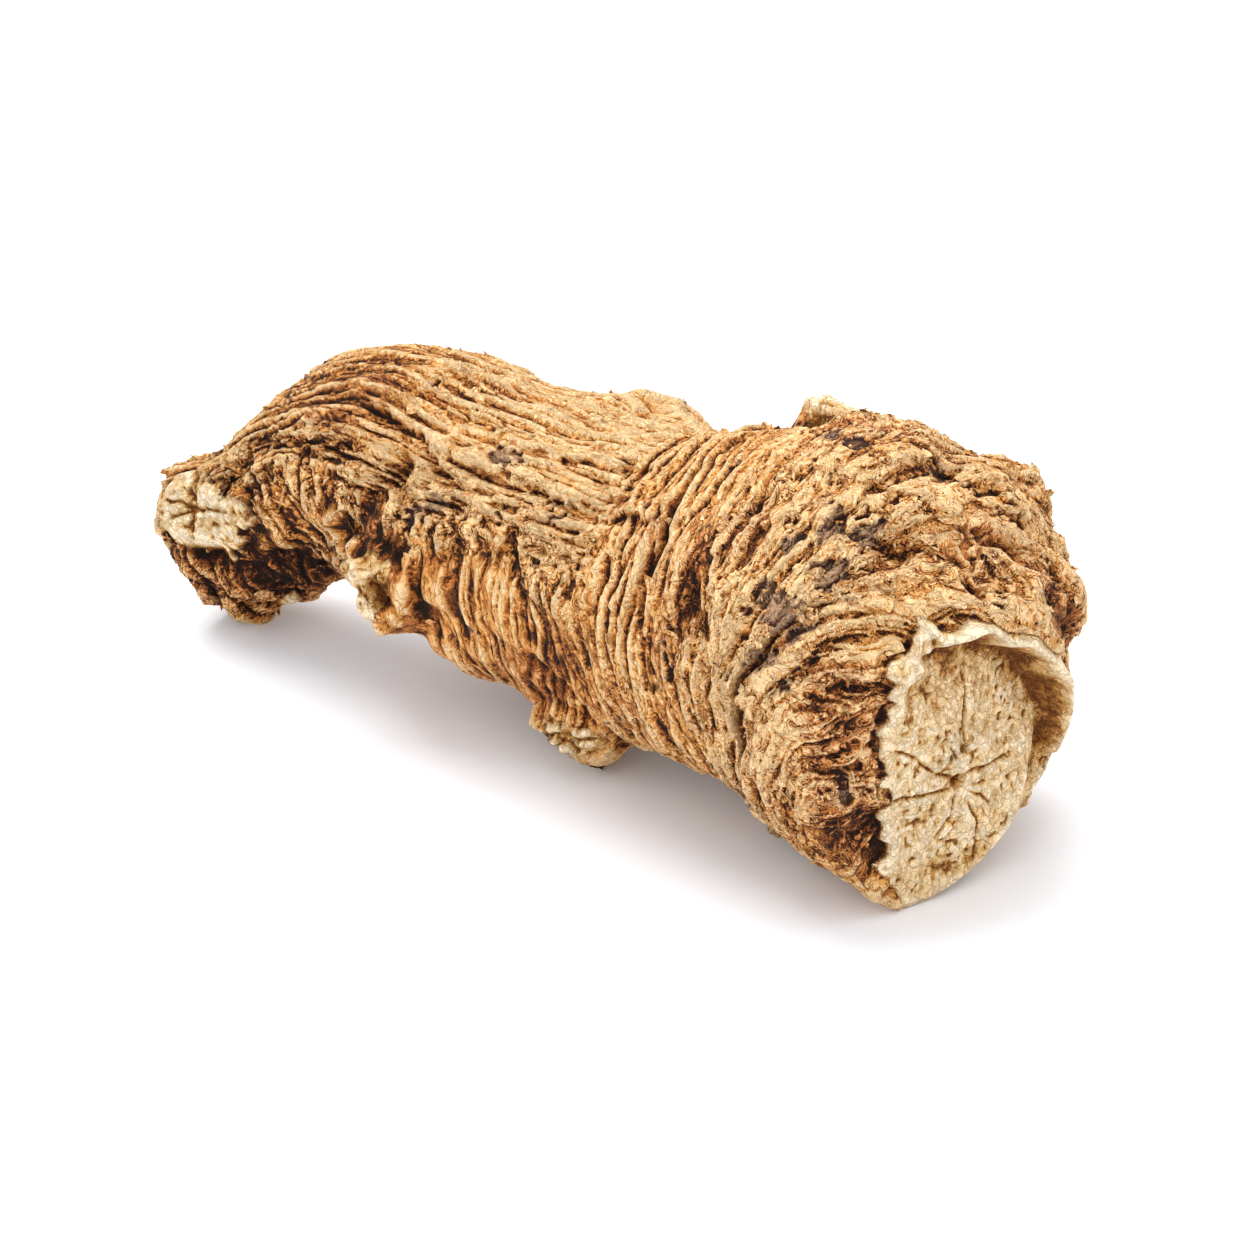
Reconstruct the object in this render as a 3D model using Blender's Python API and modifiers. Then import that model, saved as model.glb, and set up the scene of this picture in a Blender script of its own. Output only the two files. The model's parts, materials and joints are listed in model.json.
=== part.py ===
"""A dried peucedanum root: one woody piece, with a stout crown sawn across at +X, a ringed waist,
a body that forks at -X, and the short sawn stubs of its rootlets.

Standalone Blender 4.5 script. Metres, +Z up, resting on Z = 0. The tables below are in millimetres.
"""

import itertools
import math

import bmesh
import bpy
import numpy as np
from mathutils import Vector

MM = 0.001

# Sections from the sawn crown to the sawn tip of the long fork: centre x, y, z, half width, half height,
# how far the top leans to +Y, and the turn and pitch of the section's normal in degrees
BODY = (
    (29.3, -3.5, 8.9, 7.3, 8.7, 1.7, -14, -4),
    (27.5, -2.1, 9.9, 9.6, 10.0, 1.2, -8, -3),
    (24.9, -0.4, 11.1, 12.1, 11.2, 0.5, -3, -2),
    (21.3, 0.4, 11.9, 12.6, 12.1, 0, 0, 0),
    (16.8, 0.5, 12.2, 11.1, 11.5, 0, 0, 0),
    (11.3, 0.2, 11.7, 10.1, 10.1, 0, 0, 0),
    (5.8, 0.0, 11.2, 9.1, 9.2, 0, 0, 0),
    (-0.7, -0.1, 11.2, 8.7, 8.8, 0, 0, 0),
    (-7.7, -0.2, 11.2, 8.4, 8.5, 0, 0, 2),
    (-13.7, 0.0, 11.6, 7.9, 8.2, 0, 2, 8),
    (-18.2, -0.4, 11.1, 6.7, 6.8, 0, 6, 25),
    (-22.0, -1.3, 8.6, 5.6, 5.5, 0, 12, 36),
    (-25.3, -2.3, 5.9, 4.7, 5.0, 0, 16, 36),
    (-29.4, -3.5, 4.7, 4.0, 4.5, 0, 18, 22),
)
RING_POINTS = 48

# Rootlet stubs: root end and sawn end, each x, y, z and radius
STUBS = {
    "near": ((-6.9, -2.8, 10.4, 5.0), (-11.2, -8.7, 8.3, 2.9)),
    "foot": ((4.2, -2.2, 6.0, 3.8), (2.3, -5.4, 1.2, 2.3)),
    "heel": ((-1.7, 3.0, 5.5, 3.4), (-3.2, 6.4, 0.7, 2.1)),
    "top": ((13.6, 3.8, 19.0, 3.2), (13.8, 5.2, 23.0, 1.9)),
    "lobe": ((-20.0, -1.5, 9.0, 3.4), (-25.6, -4.6, 7.9, 2.4)),
    "paw": ((-22.5, -1.6, 6.6, 2.6), (-26.8, -3.4, 2.0, 2.7)),
}

# Knots and folds along the skin: x, y, z of one end and of the other, spread, and height (a fold is under 0)
MARKS = (
    (-1.2, 4.6, 18.8, 1.2, 5.0, 18.8, 1.5, 1.0),
    (-14.6, -3.6, 19.0, -13.6, -3.4, 19.2, 1.3, 0.6),
    (-11.4, -2.0, 19.7, -10.8, -1.4, 19.8, 1.4, 0.8),
    (-8.8, -0.6, 19.9, -7.6, 0.0, 19.9, 1.4, 0.6),
    (22.4, 12.4, 8.0, 21.8, 12.5, 11.5, 1.9, 1.0),
    (24.0, 9.6, 19.6, 22.4, 9.0, 20.4, 1.4, 0.3),
    (3.6, -9.0, 13.8, 6.0, -8.6, 12.6, 1.2, 0.7),
    (18.4, -9.8, 17.4, 20.0, -10.6, 14.0, 1.6, 0.7),
    (-9.6, -6.9, 16.4, -12.8, -7.8, 10.2, 1.0, -1.2),
    (-15.6, -6.9, 9.4, -18.6, -5.2, 7.0, 1.5, -0.9),
    (-24.6, -6.6, 5.6, -27.6, -5.8, 4.6, 0.9, -0.9),
    (2.2, -8.0, 7.4, 5.4, -7.2, 5.2, 1.0, -0.9),
    (26.0, -3.4, 21.2, 25.2, -4.6, 21.4, 0.8, -0.8),
    (23.6, -4.6, 22.8, 22.6, -5.4, 22.4, 0.8, -0.7),
    (20.4, -4.0, 23.6, 16.6, -6.0, 22.0, 1.0, -0.6),
    (15.0, -9.6, 17.6, 17.4, -10.8, 13.0, 0.9, -0.7),
)

RING_PITCH = 2.3
RING_HEIGHT = 0.34
STRAND_HEIGHT = 0.5
PLATE_HEIGHT = 0.36
LUMP_HEIGHT = 0.45

# Sawn faces: how deep the wood has shrunk inside the rim, rim height, radial cracks and their depth
CROWN_CUT = (1.5, 0.5, 9, 0.6)
STUB_CUT = (0.6, 0.2, 5, 0.5)
CRACK_WIDTH = 0.5
PITH_DEPTH = 1.0

VOXEL = 0.42
SETTLE_STEPS = 2
TRIANGLES = 10800
BARK = (0.515, 0.285, 0.125)


def smooth_path(points, steps=6):
    """Points on a Catmull-Rom curve through the given rows."""
    rows = np.array(points, float)
    rows = np.vstack([2 * rows[0] - rows[1], rows, 2 * rows[-1] - rows[-2]])
    path = []
    for a, b, c, d in zip(rows, rows[1:], rows[2:], rows[3:]):
        for t in np.arange(steps) / steps:
            path.append(0.5 * (2 * b + (c - a) * t + (2 * a - 5 * b + 4 * c - d) * t**2
                               + (3 * b - a - 3 * c + d) * t**3))
    path.append(rows[-2])
    return np.array(path)


def section_axes(turn, pitch):
    """Normal, side and up of a section turned and pitched by these degrees."""
    turn, pitch = math.radians(turn), math.radians(pitch)
    normal = Vector((math.cos(turn) * math.cos(pitch), math.sin(turn) * math.cos(pitch), math.sin(pitch)))
    side = Vector((0, 0, 1)).cross(normal).normalized()
    return normal, side, normal.cross(side)


def loft(name, rows):
    """A closed skin through elliptical sections, as a mesh."""
    build = bmesh.new()
    rings = []
    for x, y, z, half_width, half_height, lean, turn, pitch in rows:
        _, side, up = section_axes(turn, pitch)
        ring = []
        for i in range(RING_POINTS):
            angle = 2 * math.pi * i / RING_POINTS
            across = half_width * math.cos(angle) + lean * math.sin(angle)
            offset = side * across + up * half_height * math.sin(angle)
            ring.append(build.verts.new((Vector((x, y, z)) + offset) * MM))
        rings.append(ring)
    for first, second in zip(rings, rings[1:]):
        for i in range(RING_POINTS):
            j = (i + 1) % RING_POINTS
            build.faces.new((first[i], first[j], second[j], second[i]))
    build.faces.new(rings[0][::-1])
    build.faces.new(rings[-1])
    bmesh.ops.recalc_face_normals(build, faces=build.faces)
    mesh = bpy.data.meshes.new(name)
    build.to_mesh(mesh)
    build.free()
    return mesh


def tube(name, path):
    """A round tube with flat ends along rows of x, y, z and radius, as a mesh."""
    curve = bpy.data.curves.new(name, "CURVE")
    curve.dimensions = "3D"
    curve.bevel_depth = 1.0
    curve.bevel_resolution = 8
    curve.use_fill_caps = True
    spline = curve.splines.new("POLY")
    spline.points.add(len(path) - 1)
    for point, (x, y, z, radius) in zip(spline.points, path):
        point.co = (x * MM, y * MM, z * MM, 1)
        point.radius = radius * MM
    guide = bpy.data.objects.new(name, curve)
    bpy.context.scene.collection.objects.link(guide)
    graph = bpy.context.evaluated_depsgraph_get()
    mesh = bpy.data.meshes.new_from_object(guide.evaluated_get(graph))
    bpy.data.objects.remove(guide)
    return mesh


def with_modifiers(mesh, settings):
    """The mesh after modifiers, each given as its type and a dictionary of its values."""
    body = bpy.data.objects.new("body", mesh)
    bpy.context.scene.collection.objects.link(body)
    for kind, values in settings:
        modifier = body.modifiers.new(kind.lower(), kind)
        for key, value in values.items():
            setattr(modifier, key, value)
    graph = bpy.context.evaluated_depsgraph_get()
    result = bpy.data.meshes.new_from_object(body.evaluated_get(graph))
    bpy.data.objects.remove(body)
    return result


def fused(meshes):
    """One closed even mesh over the body and all its stubs."""
    build = bmesh.new()
    for mesh in meshes:
        build.from_mesh(mesh)
    bmesh.ops.remove_doubles(build, verts=build.verts, dist=0.01 * MM)
    whole = bpy.data.meshes.new("whole")
    build.to_mesh(whole)
    build.free()
    return with_modifiers(whole, (
        ("REMESH", {"mode": "VOXEL", "voxel_size": VOXEL * MM}),
        ("SMOOTH", {"factor": 0.5, "iterations": SETTLE_STEPS}),
    ))


def blend(value, low, high):
    """0 below low, 1 above high and an even change between; low may be the larger."""
    t = np.clip((value - low) / (high - low), 0, 1)
    return t * t * (3 - 2 * t)


def noise(points):
    """Smooth noise from -1 to 1, one bump to a unit."""
    cell = np.floor(points).astype(np.int64)
    ease = blend(points - cell, 0, 1)
    total = np.zeros(len(points))
    for corner in itertools.product((0, 1), repeat=3):
        key = (cell + corner) @ np.array([73856093, 19349663, 83492791])
        key = (key ^ (key >> 13)) * 1274126177
        value = ((key ^ (key >> 16)) & 0xFFFF) / 32767.5 - 1
        total += value * np.prod(np.where(corner, ease, 1 - ease), axis=1)
    return total


def near_line(points, start, end):
    """Each point's distance from a line between two points, and how far along it the nearest place is."""
    start, line = np.array(start), np.array(end) - np.array(start)
    share = np.clip((points - start) @ line / (line @ line), 0, 1)
    return np.linalg.norm(points - start - share[:, None] * line, axis=1), share


def stations(points):
    """How far each point is along the body from the sawn crown, and its angle round the body from +Y."""
    axis = smooth_path(BODY)[:, :3]
    best = np.full(len(points), np.inf)
    along = np.zeros(len(points))
    angle = np.zeros(len(points))
    gone = 0.0
    for start, end in zip(axis, axis[1:]):
        length = np.linalg.norm(end - start)
        distance, share = near_line(points, start, end)
        nearer = distance < best
        best[nearer] = distance[nearer]
        along[nearer] = gone + share[nearer] * length
        out = points - start - share[:, None] * (end - start)
        angle[nearer] = np.arctan2(out[:, 2], out[:, 1])[nearer]
        gone += length
    return along, angle


def skin_height(points):
    """Height of the bark over the plain form: lumps, rings at the waist, strands on top and plates."""
    along, angle = stations(points)
    wander = noise(points / 6)
    lumps = LUMP_HEIGHT * noise(points / 5 + 40)
    phase = along / RING_PITCH + 0.9 * wander + 0.35 * noise(points / 2.5 + 20) + 0.15 * np.sin(angle)
    ring = 2 * np.sqrt(np.abs(np.sin(math.pi * phase))) - 1.55
    ring *= 0.95 + 0.5 * noise(points / 4 + 60)
    waist = blend(along, 8, 15) * blend(along, 31, 24)
    low = blend(np.sin(angle), 0.5, -0.1)
    rings = RING_HEIGHT * ring * np.clip(waist + 0.6 * low + 0.35, 0, 1.1)
    round_body = np.stack([along / 9, 3.1 * np.cos(angle) + 0.3 * wander, 3.1 * np.sin(angle)], axis=1)
    strands = STRAND_HEIGHT * (0.5 - 2 * np.abs(noise(2 * round_body)))
    strands *= blend(along, 23, 27) * blend(np.sin(angle), -0.1, 0.4)
    plates = PLATE_HEIGHT * np.tanh(4 * noise(points / (2.8, 2.0, 2.0) + 7)) * blend(waist, 1.4, 0.2)
    height = lumps + rings + strands + plates
    for x, y, z, end_x, end_y, end_z, spread, rise in MARKS:
        distance, _ = near_line(points, (x, y, z), (end_x, end_y, end_z))
        height += rise * np.exp(-((distance / spread) ** 2))
    return height


def sawn_faces():
    """Centre, normal, side and up vectors over their half sizes, and the cut's values, for each sawn face."""
    for row, facing in ((BODY[0], 1), (BODY[-1], -1)):
        x, y, z, half_width, half_height, _, turn, pitch = row
        normal, side, up = section_axes(turn, pitch)
        values = CROWN_CUT if facing > 0 else STUB_CUT
        yield (x, y, z), normal * facing, side / half_width, up / half_height, values
    for start, end in STUBS.values():
        normal = (Vector(end[:3]) - Vector(start[:3])).normalized()
        side = Vector((0, 0, 1)).cross(normal).normalized()
        yield end[:3], normal, side / end[3], normal.cross(side) / end[3], STUB_CUT


def sawn_depth(points, normals):
    """Moves for the points of the sawn faces: shrunk wood inside a raised rim, radial cracks and a pith hole.

    Returns the moves and how far each point belongs to a sawn face, from 0 to 1.
    """
    moves = np.zeros_like(points)
    belongs = np.zeros(len(points))
    for index, (centre, normal, side, up, values) in enumerate(sawn_faces()):
        depth, rim, cracks, crack_depth = values
        normal, side, up = np.array(normal), np.array(side), np.array(up)
        offset = points - centre
        across, rise = offset @ side, offset @ up
        radius, turn = np.hypot(across, rise), np.arctan2(rise, across)
        facing = blend(normals @ normal, 0.55, 0.85) * (np.abs(offset @ normal) < 0.9) * (radius < 1.15)
        radius += 0.05 * np.sin(3 * turn + index) + 0.03 * np.sin(7 * turn)
        dish = blend(radius, 0.95, 0.6)
        size = 1 / np.linalg.norm(side)
        spoke = (cracks * (turn + 0.25 * np.sin(2 * turn + index)) / (2 * math.pi)) % 1 - 0.5
        apart = spoke * 2 * math.pi / cracks * radius * size
        crack = np.exp(-((apart / CRACK_WIDTH) ** 2)) * blend(radius, 0.9, 0.6)
        pith = np.exp(-((radius * size / 0.9) ** 2))
        move = rim * np.exp(-(((radius - 0.95) / 0.1) ** 2)) - depth * dish
        move -= crack_depth * crack + PITH_DEPTH * pith
        moves += (facing * move)[:, None] * normal
        belongs = np.maximum(belongs, facing)
    return moves, belongs


def with_relief(mesh):
    """The mesh with its bark raised and its sawn faces sunk."""
    count = len(mesh.vertices)
    points, normals = np.empty(count * 3), np.empty(count * 3)
    mesh.vertices.foreach_get("co", points)
    mesh.vertices.foreach_get("normal", normals)
    points, normals = points.reshape(-1, 3) / MM, normals.reshape(-1, 3)
    moves, belongs = sawn_depth(points, normals)
    height = skin_height(points) * (1 - belongs)
    points = points + moves + normals * height[:, None]
    mesh.vertices.foreach_set("co", (points * MM).ravel())
    return mesh


def set_down(mesh):
    """The mesh pressed flat on the ground where it rests, with the middle of its box over the origin."""
    points = np.empty(len(mesh.vertices) * 3)
    mesh.vertices.foreach_get("co", points)
    points = points.reshape(-1, 3)
    middle = (points.min(axis=0) + points.max(axis=0)) / 2
    points[:, :2] -= middle[:2]
    points[:, 2] = np.maximum(points[:, 2], 0)
    mesh.vertices.foreach_set("co", points.ravel())
    return mesh


def bark_material():
    """Dry tan bark."""
    material = bpy.data.materials.new("dry_bark")
    material.use_nodes = True
    shader = material.node_tree.nodes["Principled BSDF"]
    shader.inputs["Base Color"].default_value = (*BARK, 1)
    shader.inputs["Roughness"].default_value = 0.85
    shader.inputs["Metallic"].default_value = 0.0
    return material


def main():
    """Builds the root as one object."""
    for old in list(bpy.data.objects):
        bpy.data.objects.remove(old)
    meshes = [loft("body", smooth_path(BODY))]
    for name, ends in STUBS.items():
        meshes.append(tube(name, np.array(ends)))
    mesh = with_relief(fused(meshes))
    mesh.calc_loop_triangles()
    share = TRIANGLES / len(mesh.loop_triangles)
    mesh = set_down(with_modifiers(mesh, (("DECIMATE", {"ratio": share, "use_collapse_triangulate": True}),)))
    mesh.materials.clear()
    mesh.materials.append(bark_material())
    root = bpy.data.objects.new("peucedanum_root", mesh)
    bpy.context.scene.collection.objects.link(root)
    return root


main()
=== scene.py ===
"""Dried peucedanum root: its bark, sawn wood, loose flakes and fibres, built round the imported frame.

Lengths in the tables are millimetres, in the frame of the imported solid. The root lies on Z = 0 with its
sawn crown at +X and its fork at -X.
"""

from __future__ import annotations

import itertools
import json
import logging
import math
from dataclasses import dataclass, field
from enum import Enum

import bmesh
import bpy
import numpy as np
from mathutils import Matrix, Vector

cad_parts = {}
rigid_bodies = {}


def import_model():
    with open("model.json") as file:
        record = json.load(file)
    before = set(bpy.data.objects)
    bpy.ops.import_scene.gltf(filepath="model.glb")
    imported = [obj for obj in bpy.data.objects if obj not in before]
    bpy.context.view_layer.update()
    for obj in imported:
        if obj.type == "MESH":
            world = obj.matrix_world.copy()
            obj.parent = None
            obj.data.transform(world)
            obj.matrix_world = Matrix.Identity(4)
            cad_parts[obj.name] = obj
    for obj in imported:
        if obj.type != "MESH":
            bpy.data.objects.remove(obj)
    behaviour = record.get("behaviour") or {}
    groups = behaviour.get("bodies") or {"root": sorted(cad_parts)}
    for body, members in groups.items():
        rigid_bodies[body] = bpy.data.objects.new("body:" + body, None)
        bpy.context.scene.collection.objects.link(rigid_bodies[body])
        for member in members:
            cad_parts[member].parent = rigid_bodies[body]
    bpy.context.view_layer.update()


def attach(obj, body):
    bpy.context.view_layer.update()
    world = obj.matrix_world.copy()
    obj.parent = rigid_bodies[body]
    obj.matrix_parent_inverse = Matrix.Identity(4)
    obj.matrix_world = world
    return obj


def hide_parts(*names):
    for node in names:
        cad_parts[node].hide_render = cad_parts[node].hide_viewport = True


LOG = logging.getLogger("peucedanum_root")
MM = 0.001

Array = np.ndarray


# ---------------------------------------------------------------------------- colour and small helpers


def linear(hex_code: str) -> tuple[float, float, float, float]:
    """Turn an sRGB hex colour into Blender's linear colour.

    Args:
        hex_code: Six hex digits after a #.

    Returns:
        Red, green and blue in linear light, and alpha 1.
    """
    parts = [int(hex_code[i : i + 2], 16) / 255 for i in (1, 3, 5)]
    red, green, blue = (c / 12.92 if c <= 0.04045 else ((c + 0.055) / 1.055) ** 2.4 for c in parts)
    return red, green, blue, 1.0


def blend(value: Array, low: float, high: float) -> Array:
    """Ease from 0 at low to 1 at high; low may be the larger.

    Args:
        value: Numbers to ease.
        low: Where the result is 0.
        high: Where the result is 1.

    Returns:
        The eased numbers.
    """
    t = np.clip((value - low) / (high - low), 0, 1)
    return t * t * (3 - 2 * t)


def value_noise(points: Array) -> Array:
    """Smooth noise from -1 to 1 with one bump to a unit, the same formula as the solid's.

    Args:
        points: Rows of x, y, z.

    Returns:
        One number a row.
    """
    cell = np.floor(points).astype(np.int64)
    ease = blend(points - cell, 0, 1)
    total = np.zeros(len(points))
    for corner in itertools.product((0, 1), repeat=3):
        key = (cell + corner) @ np.array([73856093, 19349663, 83492791])
        key = (key ^ (key >> 13)) * 1274126177
        value = ((key ^ (key >> 16)) & 0xFFFF) / 32767.5 - 1
        total += value * np.prod(np.where(corner, ease, 1 - ease), axis=1)
    return total


def rough_noise(points: Array, octaves: int = 3) -> Array:
    """Add up several sizes of smooth noise, each half as large and half as strong as the last.

    Args:
        points: Rows of x, y, z.
        octaves: How many sizes.

    Returns:
        One number a row, from about -1 to 1.
    """
    total = np.zeros(len(points))
    for step in range(octaves):
        total += value_noise(points * 2**step + 17.3 * step) * 0.5**step
    return total / (2 - 0.5 ** (octaves - 1))


def terraces(value: Array, step: float, cliff: float) -> Array:
    """Flatten a smooth field into shelves with short cliffs between them, as torn papery bark has.

    Args:
        value: The smooth field.
        step: Height of one shelf.
        cliff: Share of a shelf that its cliff takes.

    Returns:
        The stepped field.
    """
    whole = np.floor(value / step)
    return step * (whole + blend(value / step - whole, 1 - cliff, 1))


def ridged(wave: Array, low: float = 1.1) -> Array:
    """Fold a wave into round tops with a sharp groove between two, and lower it by this much."""
    return 2 * np.sqrt(np.abs(wave)) - low


def near_line(points: Array, start: Array, end: Array) -> tuple[Array, Array]:
    """Find the distance to a line between two points, and the share of the way along it.

    Args:
        points: Rows of x, y, z.
        start: One end of the line.
        end: Its other end.

    Returns:
        The distances, and shares from 0 at start to 1 at end.
    """
    line = np.asarray(end, float) - start
    share = np.clip((points - start) @ line / (line @ line), 0, 1)
    return np.linalg.norm(points - start - share[:, None] * line, axis=1), share


def marked(points: Array, rows: tuple, total: Array | float = 0.0) -> Array:
    """Add marks to a field, each strongest on its own short line.

    Args:
        points: Rows of x, y, z in mm.
        rows: Each mark's line as two ends, its spread and, where it isn't 1, its strength.
        total: The field to add them to.

    Returns:
        The field with the marks.
    """
    for row in rows:
        distance, _ = near_line(points, np.array(row[:3]), np.array(row[3:6]))
        strength = row[7] if len(row) > 7 else 1.0
        total = total + strength * np.exp(-((distance / row[6]) ** 2))
    return total


def side_and_up(normal: Vector) -> tuple[Vector, Vector]:
    """Return the level way across a face that looks along this normal, and the way up it."""
    side = Vector((0, 0, 1)).cross(normal).normalized()
    return side, normal.cross(side)


def in_scene(name: str, data: bpy.types.ID) -> bpy.types.Object:
    """Put a mesh, curve, light or camera in the scene.

    Args:
        name: The new object's name.
        data: What it shows.

    Returns:
        The object.
    """
    thing = bpy.data.objects.new(name, data)
    bpy.context.scene.collection.objects.link(thing)
    return thing


def final_mesh(carrier: bpy.types.Object) -> bpy.types.Mesh:
    """Take the mesh that an object's modifiers or bevel make, and remove the object.

    Args:
        carrier: The object.

    Returns:
        The mesh.
    """
    graph = bpy.context.evaluated_depsgraph_get()
    mesh = bpy.data.meshes.new_from_object(carrier.evaluated_get(graph))
    bpy.data.objects.remove(carrier)
    return mesh


def built_mesh(build: bmesh.types.BMesh, name: str) -> bpy.types.Mesh:
    """Turn what was built into a mesh, and free it.

    Args:
        build: The points and faces.
        name: The mesh's name.

    Returns:
        The mesh.
    """
    mesh = bpy.data.meshes.new(name)
    build.to_mesh(mesh)
    build.free()
    return mesh


# ---------------------------------------------------------------------------- form of the root


@dataclass(frozen=True)
class CutPlane:
    """One sawn face: where it lies and which way it looks."""

    centre: Array
    normal: Array
    side: Array
    up: Array
    half_width: float
    half_height: float

    def on_face(self, points: Array) -> tuple[Array, Array, Array]:
        """Return each point's place across and up the face, and its distance out of it, in mm."""
        offset = points - self.centre
        return offset @ self.side, offset @ self.up, offset @ self.normal


@dataclass
class RootForm:
    """The woody body and its rootlet stubs as plain smooth forms, from the solid's own named sizes."""

    # Sections from crown to fork: place, half width, half height, lean, and degrees turned and pitched
    sections: tuple = (
        (29.3, -3.5, 8.9, 7.3, 8.7, 1.7, -14, -4),
        (27.5, -2.1, 9.9, 9.6, 10.0, 1.2, -8, -3),
        (24.9, -0.4, 11.1, 12.1, 11.2, 0.5, -3, -2),
        (21.3, 0.4, 11.9, 12.6, 12.1, 0, 0, 0),
        (16.8, 0.5, 12.2, 11.1, 11.5, 0, 0, 0),
        (11.3, 0.2, 11.7, 10.1, 10.1, 0, 0, 0),
        (5.8, 0.0, 11.2, 9.1, 9.2, 0, 0, 0),
        (-0.7, -0.1, 11.2, 8.7, 8.8, 0, 0, 0),
        (-7.7, -0.2, 11.2, 8.4, 8.5, 0, 0, 2),
        (-13.7, 0.0, 11.6, 7.9, 8.2, 0, 2, 8),
        (-18.2, -0.4, 11.1, 6.7, 6.8, 0, 6, 25),
        (-22.0, -1.3, 8.6, 5.6, 5.5, 0, 12, 36),
        (-25.3, -2.3, 5.9, 4.7, 5.0, 0, 16, 36),
        (-29.4, -3.5, 4.7, 4.0, 4.5, 0, 18, 22),
    )
    # Stubs from root to end: place and radius of both ends
    stubs: dict = field(
        default_factory=lambda: {
            "near": ((-6.9, -2.8, 10.4, 5.0), (-11.2, -8.7, 8.3, 2.9)),
            "foot": ((4.2, -2.2, 6.0, 3.8), (2.3, -5.4, 1.2, 2.3)),
            "heel": ((-1.7, 3.0, 5.5, 3.4), (-3.2, 6.4, 0.7, 2.1)),
            "top": ((13.6, 3.8, 19.0, 3.2), (13.8, 5.2, 23.0, 1.9)),
            "lobe": ((-20.0, -1.5, 9.0, 3.4), (-25.6, -4.6, 7.9, 2.4)),
            "paw": ((-22.5, -1.6, 6.6, 2.6), (-26.8, -3.4, 2.0, 2.7)),
        }
    )
    # Knots and folds of the solid: both ends, the spread and the height
    marks: tuple = (
        (-1.2, 4.6, 18.8, 1.2, 5.0, 18.8, 1.5, 1.0),
        (-14.6, -3.6, 19.0, -13.6, -3.4, 19.2, 1.3, 0.6),
        (-11.4, -2.0, 19.7, -10.8, -1.4, 19.8, 1.4, 0.8),
        (-8.8, -0.6, 19.9, -7.6, 0.0, 19.9, 1.4, 0.6),
        (22.4, 12.4, 8.0, 21.8, 12.5, 11.5, 1.9, 1.0),
        (24.0, 9.6, 19.6, 22.4, 9.0, 20.4, 1.4, 0.3),
        (3.6, -9.0, 13.8, 6.0, -8.6, 12.6, 1.2, 0.7),
        (18.4, -9.8, 17.4, 20.0, -10.6, 14.0, 1.6, 0.7),
        (-9.6, -6.9, 16.4, -12.8, -7.8, 10.2, 1.0, -1.2),
        (-15.6, -6.9, 9.4, -18.6, -5.2, 7.0, 1.5, -0.9),
        (-24.6, -6.6, 5.6, -27.6, -5.8, 4.6, 0.9, -0.9),
        (2.2, -8.0, 7.4, 5.4, -7.2, 5.2, 1.0, -0.9),
        (26.0, -3.4, 21.2, 25.2, -4.6, 21.4, 0.8, -0.8),
        (23.6, -4.6, 22.8, 22.6, -5.4, 22.4, 0.8, -0.7),
        (20.4, -4.0, 23.6, 16.6, -6.0, 22.0, 1.0, -0.6),
        (15.0, -9.6, 17.6, 17.4, -10.8, 13.0, 0.9, -0.7),
    )
    settled: tuple[float, float, float] = (0.066, -0.867, 0.0)  # from the tables to the frame
    ring_points: int = 64
    voxel: float = 0.13  # a wider one leaves too few points for the bark's torn edges, about 0.15 mm wide

    def smooth_rows(self, steps: int = 6) -> Array:
        """Run a smooth curve through the named sections.

        Args:
            steps: Rows from one named section to the next.

        Returns:
            Rows with the same columns as the sections.
        """
        rows = np.array(self.sections, float)
        rows = np.vstack([2 * rows[0] - rows[1], rows, 2 * rows[-1] - rows[-2]])
        found = []
        for a, b, c, d in zip(rows, rows[1:], rows[2:], rows[3:]):
            for t in np.arange(steps) / steps:
                squared = (2 * a - 5 * b + 4 * c - d) * t**2
                found.append(0.5 * (2 * b + (c - a) * t + squared + (3 * b - a - 3 * c + d) * t**3))
        found.append(rows[-2])
        return np.array(found)

    @staticmethod
    def axes(turn: float, pitch: float) -> tuple[Vector, Vector, Vector]:
        """Find the axes of a section.

        Args:
            turn: Degrees that it is turned about Z.
            pitch: Degrees that it is pitched up.

        Returns:
            Its normal, side and up.
        """
        turn, pitch = math.radians(turn), math.radians(pitch)
        normal = Vector((math.cos(turn) * math.cos(pitch), math.sin(turn) * math.cos(pitch), math.sin(pitch)))
        return normal, *side_and_up(normal)

    def body_mesh(self) -> bpy.types.Mesh:
        """Loft the closed skin through the sections.

        Returns:
            The body without its stubs.
        """
        build = bmesh.new()
        rings = []
        for x, y, z, half_width, half_height, lean, turn, pitch in self.smooth_rows():
            _, side, up = self.axes(turn, pitch)
            ring = []
            for i in range(self.ring_points):
                angle = 2 * math.pi * i / self.ring_points
                across = half_width * math.cos(angle) + lean * math.sin(angle)
                place = Vector((x, y, z)) + side * across + up * half_height * math.sin(angle)
                ring.append(build.verts.new(place * MM))
            rings.append(ring)
        for first, second in zip(rings, rings[1:]):
            for i in range(self.ring_points):
                j = (i + 1) % self.ring_points
                build.faces.new((first[i], first[j], second[j], second[i]))
        build.faces.new(rings[0][::-1])
        build.faces.new(rings[-1])
        bmesh.ops.recalc_face_normals(build, faces=build.faces)
        return built_mesh(build, "body")

    def stub_mesh(self, name: str) -> bpy.types.Mesh:
        """Make one rootlet stub as a round tapering tube with flat ends.

        Args:
            name: Which stub.

        Returns:
            The tube.
        """
        curve = bpy.data.curves.new(name, "CURVE")
        curve.dimensions = "3D"
        curve.bevel_depth = 1.0
        curve.bevel_resolution = 12
        curve.use_fill_caps = True
        spline = curve.splines.new("POLY")
        spline.points.add(1)
        for point, (x, y, z, radius) in zip(spline.points, self.stubs[name]):
            point.co = (x * MM, y * MM, z * MM, 1)
            point.radius = radius * MM
        return final_mesh(in_scene(name, curve))

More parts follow.
